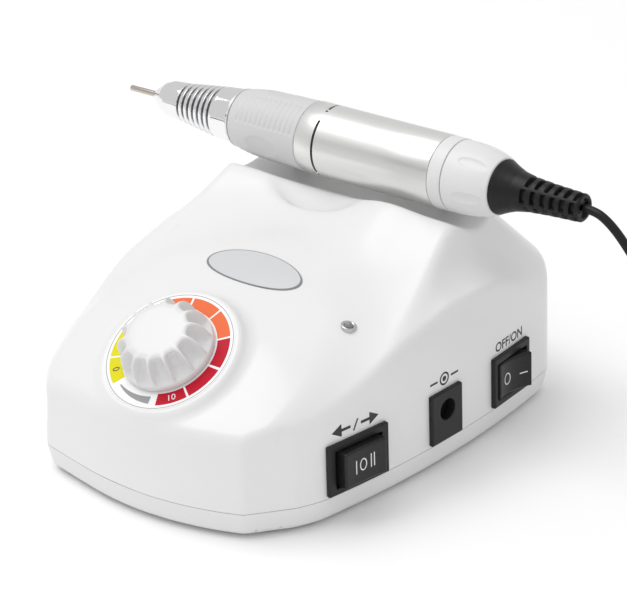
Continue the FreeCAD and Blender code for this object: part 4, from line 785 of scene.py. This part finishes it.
DOME_LEAN = math.radians(74)
knob_outline = [(0.7, 8.0), (0.7, 16.6), (1.0, 17.0), (2.4, 17.0), (2.9, 16.8), (3.2, 16.6)]
for lean in np.linspace(0, 1, 30)[1:] * DOME_LEAN:
    fall = (math.cos(lean) - math.cos(DOME_LEAN)) / (1 - math.cos(DOME_LEAN))
    knob_outline.append((3.2 + 9.5 * math.sin(lean) / math.sin(DOME_LEAN), 10.9 + 5.7 * fall ** 0.6))
knob_outline += [(12.82, 10.3), (12.9, 9.4), (12.96, 6.0), (13.0, 0.001)]
lathe("speed_knob_fluted", knob_outline, "knob", "dial", TILTED, "speed_knob",
      FLUTES * 24, fluted, 50)

# Badge: a bare oval that follows the crown
def badge_oval(half_x, half_y, rings=14, around=128):
    """Rings from the edge inwards: share of the oval, and height above the hood."""
    rim = [(1.0, -0.6), (1.0, 0.15), (0.985, 0.38), (0.955, 0.34)]
    face = [(0.955 * (1 - n / rings), 0.34) for n in range(1, rings + 1)]
    angles = np.linspace(0, 2 * math.pi, around, endpoint=False)
    points = []
    for reach, lift in rim + face:
        x = half_x * reach * np.cos(angles)
        y = FRONT + 68.9 + half_y * reach * np.sin(angles) * math.cos(math.radians(BADGE_SLOPE))
        points.append(np.stack([x, y, hood(x, y)[0] + lift], -1))
    badge = piece("badge_oval", np.concatenate(points), grid_faces(len(points), around), ["rim", "badge"],
                  "base", BASE, 30, "badge_plate")
    for face in badge.data.polygons:
        face.material_index = 0 if face.index < around * 3 else 1


badge_oval(20.5, 8.9)

# Indicator
led_ring = [(-2.5, 1.6), (0.1, 1.6), (0.25, 1.8), (0.45, 2.3), (0.3, 2.75), (-1.2, 2.75)]
lathe("led_ring", eased(led_ring, 0.12, 3), "steel", "base", LED @ turn("Y", -90), "led_holder", 48)


# Handpiece, by stations from the tip of the bit
def soft_step(x, width):
    t = np.clip(x / width + 0.5, 0, 1)
    return t * t * (3 - 2 * t)


def off_angle(a, degrees):
    return np.abs((np.degrees(a) - degrees + 180) % 360 - 180)


shank = [(0, 0.001), (0, 1.1), (10.9, 1.1), (11.4, 1.175), (42, 1.175), (42, 0.001)]
lathe("bit_shank_steel", eased(shank, 0.2, 3), "shank", "bit", TURNED, "bit_shank", 40)

GROOVES, GROOVE_START, GROOVE_PITCH = 7, 27.3, 2.63
GROOVE_RADIUS, BAND_RADIUS = 7.2, 9.7
nose = [(16.5, 2.2), (12.9, 2.2), (12.9, 2.6), (14.4, 3.72), (16.9, 5.3), (17.5, 5.75), (19.0, 6.35),
        (20.3, 6.74), (21.9, 6.86), (25.4, 7.1), (27.2, 7.2)]
bends = [0, 0, 0.3, 0, 0.5, 0.5, 0.3, 0.5, 0, 0, 0.15]
for n in range(GROOVES):
    at = GROOVE_START + GROOVE_PITCH * n
    radius = GROOVE_RADIUS + (BAND_RADIUS - GROOVE_RADIUS) / GROOVES * n
    nose += [(at, radius - 0.62), (at + 1.0, radius - 0.62)]
    nose += [(at + 1.1, radius + 0.2), (at + 2.5, radius + 0.42)]
    bends += [0.05, 0.05, 0.16, 0.16]
nose += [(46.0, 9.75), (52.9, 10.48), (53.2, 10.3), (53.3, 9.0), (53.3, 6.4)]
bends += [0, 0.15, 0.1, 0, 0]


def groove_shade_paint(s, r, _):
    """Painted shade on the floors of the grooves, a darkened copy of the chrome."""
    along = s - GROOVE_START
    lands = GROOVE_RADIUS + along * (BAND_RADIUS - GROOVE_RADIUS) / (GROOVES * GROOVE_PITCH)
    return (along > 0) & (along < 18.5) & (along % GROOVE_PITCH < 1.02) & (r < lands - 0.45)


# The groove floors take the darkened chrome: painted shade in the grooves.
lathe("nose_chrome", eased(nose, bends, 4), ["chrome", "groove"], "chuck", TURNED, "nose_cone", 128, None, 40,
      groove_shade_paint)
lathe("grip_front_rim", eased([(53.3, 9.0), (53.3, 10.75), (53.9, 10.85), (53.9, 9.0)], 0.2, 3), "aluminium",
      "chuck", TURNED, None, 128)


def grip_change(s, r, a):
    """Ribbed pads with finger ovals between them, three of each."""
    for base in (131.0, 251.0, 11.0):
        pad = soft_step(29.0 - off_angle(a, base), 3.0)
        pad = pad * soft_step(s - 57.6, 0.8) * soft_step(85.4 - s, 0.8)
        r = r - pad * (0.22 - 0.20 * np.cos(2 * math.pi * (s - 57.8) / 2.3))
    for base in (195.0, 315.0, 75.0):
        oval = ((s - 70.4) / 7.0) ** 2 + (off_angle(a, base) / 19.0) ** 2
        r = r - 0.6 * np.clip(1 - oval, 0, 1) ** 0.55
    return r


grip = [(54.0, 6.4), (54.0, 10.35), (54.3, 10.78), (58.4, 11.62), (62.0, 12.12), (65.4, 12.42), (70.0, 12.64),
        (75.0, 12.75), (80.5, 12.82), (86.0, 12.98), (86.3, 12.7), (86.3, 6.4)]
lathe("front_grip_pads", refined(eased(grip, [0, 0, 0.4, 2, 2, 2, 2, 2, 2, 0.25, 0, 0], 4), 0.26), "grey",
      "chuck", TURNED, "front_grip", 240, grip_change, 60)

SLITS = (124.0, 225.0), (244.0, 345.0), (4.0, 105.0)


def in_slit(s, a):
    turned = np.degrees(a) % 360
    hit = np.zeros(turned.shape, bool)
    for start, end in SLITS:
        hit |= (turned > start) & (turned < end)
    return hit & (s > 94.22) & (s < 95.2)


def barrel_change(s, r, a):
    return np.where(in_slit(s, a) & (r > 12.5), r - 0.75, r)


barrel = [(86.45, 12.2), (86.45, 12.75), (86.6, 13.0)]
barrel += [(s, BARREL) for s in (86.95, 94.2, 94.24, 95.18, 95.22, 110.0, 125.0, 144.9)]
barrel += [(145.3, 13.0), (145.3, 12.2)]
lathe("barrel_sleeve", barrel, ["aluminium", "slit"], "handpiece", TURNED, "barrel", 360, barrel_change, 32,
      lambda s, r, a: in_slit(s, a))
for n, angle in enumerate((220.0, 340.0, 100.0)):
    bead = [(0.45 * math.cos(t), 0.001 + 0.45 * math.sin(t)) for t in np.linspace(0, math.pi / 2, 8)][::-1]
    lathe(f"slit_rivet_{n}", [(-0.2, 0.45)] + bead, "chrome", "handpiece",
          TURNED @ move(94.75, 0, 0) @ turn("X", angle) @ move(0, 12.95, 0) @ turn("Z", 90), None, 24)

tail_ring = [(145.5, 11.0), (145.5, 13.0), (145.7, 13.15), (150.7, 13.15), (150.9, 13.0), (150.9, 11.0)]
lathe("tail_ring_grey", eased(tail_ring, 0.15, 3), "tail", "handpiece", TURNED, "tail_ring", 128)


def tail_change(s, r, a):
    """Six oval dimples round the cap."""
    for n in range(6):
        oval = ((s - 161.6) / 5.8) ** 2 + (off_angle(a, 128.0 + 60.0 * n) / 9.5) ** 2
        r = r - 0.75 * np.clip(1 - oval, 0, 1) ** 0.5 * (r > 9)
    return r


tail = [(151.1, 8.2), (151.1, 12.7), (151.4, 12.98), (155.0, 12.97), (158.0, 12.86), (161.4, 12.5),
        (163.5, 12.12), (165.4, 11.62), (167.2, 11.05), (168.9, 10.4), (169.2, 9.9), (169.2, 8.2)]
lathe("tail_cap_dimpled", refined(eased(tail, [0, 0.1, 0.2, 2, 2, 2, 2, 2, 2, 0.3, 0.1, 0], 4), 0.3), "tail",
      "handpiece", TURNED, "tail_cap", 240, tail_change, 60)


def relief_change(s, r, a):
    """Six rows of six slots, with every second row set forward."""
    pitch = 3.94
    for n in range(6):
        first = 182.2 if n % 2 == 0 else 181.3
        near = (s - first + pitch / 2) % pitch - pitch / 2
        slot = soft_step(0.85 - np.abs(near), 0.3) * soft_step(24.0 - off_angle(a, 108.0 + 60.0 * n), 3.0)
        slot = slot * (s > first - 1.5) * (s < first + 5 * pitch + 1.5)
        r = r - 1.5 * slot * (r > 3)
    return r


relief = [(169.25, 7.9), (169.25, 9.7), (169.6, 9.95), (171.4, 9.1), (173.7, 8.15), (176.4, 7.2),
          (181.4, 6.3), (190.0, 5.65), (201.4, 5.15), (202.7, 5.1), (203.3, 4.5), (203.35, 3.6),
          (202.0, 2.9), (202.0, 1.2)]
relief_bends = [0, 0.1, 0.3, 3, 3, 3, 3, 3, 0.5, 0.6, 0.4, 0.3, 0.1, 0]
lathe("strain_relief_slotted", refined(eased(relief, relief_bends, 4), 0.28),
      "rubber", "handpiece", TURNED, "strain_relief", 240, relief_change, 50)


# Moulded parts drawn as fields: rockers, bezels, sockets
def block(x, y, z, low, high, r):
    """Signed distance to a box from low to high with its edges rounded."""
    q = [np.abs(v - (a + b) / 2) - (b - a) / 2 + r for v, a, b in zip((x, y, z), low, high)]
    outside = np.sqrt(sum(np.maximum(v, 0) ** 2 for v in q))
    return outside + np.minimum(np.maximum(np.maximum(q[0], q[1]), q[2]), 0) - r


def moulded(name, field, low, high, step, mat, body, place, node=None, sharp=40):
    points, quads = contour(field, low, high, step * (1.0))
    return piece(name, points, quads, mat, body, place, sharp, node)


def switch_field(width, pocket):
    """A bezel with a pocket for the rocker."""
    def field(x, y, z):
        plate = block(x, y, z, (-0.4, -width / 2, -9.6), (1.6, width / 2, 9.6), 0.55)
        back = block(x, y, z, (-14, -pocket - 1.2, -8.2), (1.0, pocket + 1.2, 8.2), 0.3)
        opening = block(x, y, z, (-6, -pocket, -7.06), (9, pocket, 7.06), 0.4)
        return smooth_max(np.minimum(plate, back), -opening, 0.5)
    return field


def rocker_field(half, reach, dip):
    """A rocker about its pivot, hollowed in front, with its root drawn in."""
    def field(x, y, z):
        body = block(x, y, z, (-1.9, -half, -6.7), (reach + 1, half, 6.7), 0.5)
        front = x - reach + dip * (1 - np.clip(y / half, -1, 1) ** 2)
        root = (-x - 2.4 + np.abs(y) * 0.33) * 0.95
        return smooth_max(np.maximum(body, root), front, 0.9)
    return field


moulded("direction_switch_case", switch_field(27.7, 10.7), (-15, -15, -10.5), (2.6, 15, 10.5), 0.4, "black",
        "base", DIRECTION, "direction_switch_body")
moulded("power_switch_case", switch_field(22.7, 9.2), (-15, -12.5, -10.5), (2.6, 12.5, 10.5), 0.4, "black",
        "base", POWER, "power_switch_body")
PIVOT_DEPTH = 2.0
DIRECTION_ARM = DIRECTION @ move(-PIVOT_DEPTH, 0, 0)
POWER_ARM = POWER @ move(-PIVOT_DEPTH, 0, 0) @ turn("Z", -12)
direction_rocker = rocker_field(9.5, 7.2, 0.5)
power_rocker = rocker_field(8.0, 6.2, 1.6)
moulded("direction_rocker_block", direction_rocker, (-4, -10.2, -7.4), (8.2, 10.2, 7.4), 0.3, "rocker",
        "direction_switch", DIRECTION_ARM, "direction_rocker")
moulded("power_rocker_block", power_rocker, (-4, -8.7, -7.4), (7.4, 8.7, 7.4), 0.3, "rocker",
        "power_switch", POWER_ARM, "power_rocker")
SOCKET_LIFT = 2.2


def socket_field(x, y, z):
    r = np.hypot(y, z - SOCKET_LIFT)
    body = np.minimum(block(x, y, z, (-0.4, -8.2, -9.6), (1.6, 8.2, 9.6), 0.55),
                      np.maximum(r - 6.5, np.maximum(-x - 18, x)))
    mouth = np.maximum(r - 3.93, -x - 2.5)
    liner = np.maximum(r - 4.3, np.abs(x + 9.5) - 7)
    return np.maximum(smooth_max(body, -mouth, 0.35), -liner)


moulded("motor_socket_plate", socket_field, (-19, -9, -10.5), (2.6, 9, 10.5), 0.4, "black", "base", MOTOR,
        "motor_socket")
liner = [(-3.2, 4.2), (-2.6, 4.25), (-2.6, 3.3), (-16, 3.25), (-16, 4.25), (-3.2, 4.25)]
lathe("socket_liner_dark", liner, "slit", "base", MOTOR @ move(0, 0, SOCKET_LIFT), "socket_liner", 48)


# Print on the rockers and above the panel
def settle(points, place, field, start, proud=0.04):
    """The points pushed along their frame's X until they lie just on the field's surface."""
    rows = np.array(BASE.inverted() @ place)
    low, high = np.full(len(points), start - 8.0), np.full(len(points), start + 3.0)
    for _ in range(22):
        middle = (low + high) / 2
        at = np.column_stack([middle, points[:, 1], points[:, 2]]) @ rows[:3, :3].T + rows[:3, 3]
        inside = field(*at.T) < 0
        low, high = np.where(inside, middle, low), np.where(inside, high, middle)
    settled = points.copy()
    settled[:, 0] = (low + high) / 2 + proud
    return settled


def strokes(name, shapes, mat, place, body, field=None, start=0.0, across=6):
    """Flat print in the YZ plane of a frame: each shape is a strip of (one side, other side) points."""
    points, faces = [], []
    for shape in shapes:
        first = len(points)
        for one, two in shape:
            sides = np.linspace(one, two, across + 1)
            points += [(start, y, z) for y, z in sides]
        faces += [tuple(first + i + j for i in (0, 1, across + 2, across + 1))
                  for n in range(len(shape) - 1) for j in range(n * (across + 1), n * (across + 1) + across)]
    points = np.array(points, float)
    if field is not None:
        points = settle(points, place, field, start)
    return piece(name, points, faces, mat, body, place, None)


def ring_mark(y, z, wide, tall, line):
    turns = np.linspace(0, 2 * math.pi, 33)
    return [((y + wide * math.cos(t), z + tall * math.sin(t)),
             (y + (wide - line) * math.cos(t), z + (tall - line) * math.sin(t))) for t in turns]


def bar_mark(y0, z0, y1, z1, line, cuts=6):
    length = math.hypot(y1 - y0, z1 - z0)
    ny, nz = -(z1 - z0) / length * line / 2, (y1 - y0) / length * line / 2
    share = np.linspace(0, 1, cuts)
    middle = [(y0 + (y1 - y0) * t, z0 + (z1 - z0) * t) for t in share]
    return [((y + ny, z + nz), (y - ny, z - nz)) for y, z in middle]


def arrow_mark(y, z, size, way):
    places = [(y + way * size * (t - 0.5), size * 0.55 * (1 - t)) for t in np.linspace(0, 0.97, 10)]
    return [((at, z + half), (at, z - half)) for at, half in places]


strokes("direction_marks", [bar_mark(-4.4, -2.5, -4.4, 2.7, 0.45), ring_mark(-1.1, 0.2, 1.65, 2.35, 0.45),
                            bar_mark(2.5, -2.2, 2.5, 3.0, 0.45), bar_mark(3.9, -2.1, 3.9, 3.1, 0.45)],
        "white_ink", DIRECTION_ARM, "direction_switch",
        lambda x, y, z: direction_rocker(*in_frame(DIRECTION_ARM, x, y, z)), 6.75)
strokes("power_marks", [ring_mark(-3.3, -0.3, 1.75, 2.3, 0.4), bar_mark(2.9, -0.6, 6.2, -0.6, 0.45)],
        "white_ink", POWER_ARM, "power_switch",
        lambda x, y, z: power_rocker(*in_frame(POWER_ARM, x, y, z)), 4.2)
strokes("direction_print", [arrow_mark(-8.6, 13.4, 4.4, -1), bar_mark(-6.4, 13.4, -2.4, 13.4, 1.1),
                            bar_mark(-1.0, 11.3, 1.0, 15.3, 0.7), bar_mark(2.4, 13.2, 6.4, 13.2, 1.1),
                            arrow_mark(8.6, 13.2, 4.4, 1)], "ink", DIRECTION, "base", top_form)
strokes("motor_print", [ring_mark(0.2, 13.6, 2.5, 2.5, 0.7), ring_mark(0.2, 13.6, 1.0, 1.0, 0.95),
                        bar_mark(-7.4, 13.6, -3.4, 13.6, 0.8), bar_mark(3.8, 13.6, 7.8, 13.6, 0.8)],
        "ink", MOTOR, "base", top_form)


def wall_text(name, text, size, place, y, z, stretch=1.0):
    """Plain capitals laid on the wall above a switch."""
    flat, faces = text_mesh(name, text, size, offset=0.10)
    points = np.stack([np.zeros(len(flat)), flat[:, 0] * stretch + y, flat[:, 1] + z], -1)
    return piece(name, settle(points, place, top_form, 0.0), faces, "ink", "base", place, None)


wall_text("power_print", "OFF/ON", 4.9, POWER, 0.2, 12.6, 0.98)


# Inlet and plug
def inlet_field(x, y, z):
    body = np.minimum(block(x, y, z, (-11, -18, -6.5), (11, 0, 6.5), 0.4),
                      block(x, y, z, (-13, -1.5, -8.5), (13, 0.0, 8.5), 0.7))
    r = np.minimum(np.hypot(x - 3.6, z), np.hypot(x + 3.6, z)) - 4.4
    opening = np.maximum(np.minimum(r, np.maximum(np.abs(x) - 3.6, np.abs(z) - 3.9)), -y - 13)
    return smooth_max(body, -opening, 0.4)


moulded("mains_inlet_case", inlet_field, (-14, -19, -9.5), (14, 1, 9.5), 0.45, "black", "base", INLET,
        "mains_inlet")

COIL_END = ROUTE[-1]
PLUG = Matrix.Translation(COIL_END) @ turn("Z", 180)


def plug_change(s, r, a):
    """Slots in the boot and fine ribs round the grip."""
    slots = soft_step(0.8 - np.abs((s - 2.6 + 1.6) % 3.2 - 1.6), 0.3) * (s > 1.6) * (s < 13.6)
    wide = (np.abs(np.cos(a)) > 0.3)
    ribs = 0.28 * (0.5 - 0.5 * np.cos(2 * math.pi * (s - 21.0) / 1.8)) * (s > 21) * (s < 39)
    return r - 0.7 * slots * wide * (r > 1.7) - ribs


plug_z = COIL_END.z
plug = [(0, 1.0), (0, 1.62), (0.3, 1.75), (5.3, 1.85), (12.8, 3.2), (15.9, 3.3), (16.0, plug_z * 0.86),
        (17.0, plug_z * 0.985), (18.0, plug_z - 0.02), (43.0, plug_z - 0.02), (44.0, plug_z * 0.9),
        (44.0, 2.0)]
plug_bends = [0, 0.1, 0.2, 2, 0.4, 0.2, 0.2, 0.4, 0.6, 0.7, 0.3, 0]
lathe("plug_grip", refined(eased(plug, plug_bends, 4), 0.25), "rubber", "base", PLUG, "plug_body", 96,
      plug_change, 50)
pin = [(43.5, 3.1), (56.0, 3.13), (56.1, 2.95), (57.0, 2.95), (57.1, 3.13), (67.9, 3.13), (69.3, 2.26),
       (71.3, 3.02), (73.9, 1.3), (73.95, 0.001)]
lathe("plug_pin_ringed", eased(pin, [0, 0, 0, 0, 0, 0.3, 0.6, 0.6, 0.4, 0], 5), ["chrome", "black"],
      "base", PLUG, "plug_pin", 64, None, 40, lambda s, r, a: (s > 56.05) & (s < 57.05))

# Finishes of the parts taken over from the frame
FINISH = {
    "rubber": ["rubber_feet"],
    "lens": ["led_lens"],
    "chrome": ["front_bearing", "rear_bearing"],
    "steel": ["shell_screws", "board_screws", "strap_screws", "potentiometer_body", "potentiometer_nut",
              "transformer_strap", "collet", "spindle", "motor_can"],
    "aluminium": ["potentiometer_shaft", "heat_sink", "spindle_housing"],
    "brass": ["direction_terminals", "power_terminals", "inlet_pins"],
    "part": ["filter_capacitor", "bridge_rectifier", "speed_regulator", "drive_coupling", "motor_end_cap"],
    "board": ["main_board"], "relay": ["direction_relay"], "core": ["transformer_core"],
    "tape": ["transformer_winding"], "magnet": ["motor_magnets", "motor_brushes"], "copper": ["motor_rotor"],
}
for finish, node in [(finish, node) for finish, nodes in FINISH.items() for node in nodes]:
    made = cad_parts[node]
    made.data.materials.clear()
    made.data.materials.append(MATS[finish])
    weld = made.modifiers.new("weld", "WELD")
    weld.merge_threshold = 0.00002
    edge = made.modifiers.new("edge", "BEVEL")
    edge.width = 0.0002
    edge.segments = 2
    edge.limit_method = "ANGLE"
    edge.angle_limit = math.radians(40)


# Light, floor and background
def aimed(name, data, place, aim):
    """A lamp or card at a place, in metres, that faces a point."""
    made = bpy.data.objects.new(name, data)
    bpy.context.scene.collection.objects.link(made)
    made.location = place
    made.rotation_mode = "QUATERNION"
    made.rotation_quaternion = (Vector(aim) - Vector(place)).to_track_quat("-Z", "Y")
    return made


def lamp(name, power, place, aim, size):
    data = bpy.data.lights.new(name, "AREA")
    data.energy = power
    data.shape = "RECTANGLE"
    data.size, data.size_y = size
    aimed(name, data, place, aim)


def card(name, place, size, aim):
    """A dark card that only reflections see."""
    mesh = bpy.data.meshes.new(name)
    w, h = size[0] / 2, size[1] / 2
    mesh.from_pydata([(-w, -h, 0), (w, -h, 0), (w, h, 0), (-w, h, 0)], [], [(0, 1, 2, 3)])
    mesh.materials.append(MATS["part"])
    made = aimed(name, mesh, place, aim)
    made.visible_camera = made.visible_diffuse = made.visible_shadow = made.visible_transmission = False


card("front_card", (0.1, -0.9, 0.42), (1.6, 0.16), (0, 0.05, 0.09))
card("low_card", (0.0, -0.5, 0.012), (1.2, 0.3), (0, -0.5, 1.0))
lamp("key", 11.0, (-0.45, -0.3, 1.45), (0, 0, 0.05), (1.1, 1.1))
lamp("front_fill", 0.9, (0.6, -1.5, 0.7), (0, 0, 0.05), (1.2, 0.8))
world = bpy.data.worlds.new("world")
world.use_nodes = True
bpy.context.scene.world = world
tree = world.node_tree
background = tree.nodes["Background"]
background.inputs["Color"].default_value = (1, 1, 1, 1)
background.inputs["Strength"].default_value = 0.70
seen = tree.nodes.new("ShaderNodeBackground")
seen.inputs["Color"].default_value = (1, 1, 1, 1)
seen.inputs["Strength"].default_value = 1.0
paths = tree.nodes.new("ShaderNodeLightPath")
either = tree.nodes.new("ShaderNodeMixShader")
tree.links.new(paths.outputs["Is Camera Ray"], either.inputs[0])
tree.links.new(background.outputs[0], either.inputs[1])
tree.links.new(seen.outputs[0], either.inputs[2])
tree.links.new(either.outputs[0], tree.nodes["World Output"].inputs["Surface"])


def floor():
    mesh = bpy.data.meshes.new("floor")
    mesh.from_pydata([(-4, -4, 0), (4, -4, 0), (4, 4, 0), (-4, 4, 0)], [], [(0, 1, 2, 3)])
    made = bpy.data.objects.new("floor", mesh)
    bpy.context.scene.collection.objects.link(made)
    paint = material("floor_white", (0.98, 0.98, 0.98), 0.7, scale=50)
    mesh.materials.append(paint)


floor()
bpy.context.scene.view_settings.view_transform = "Standard"
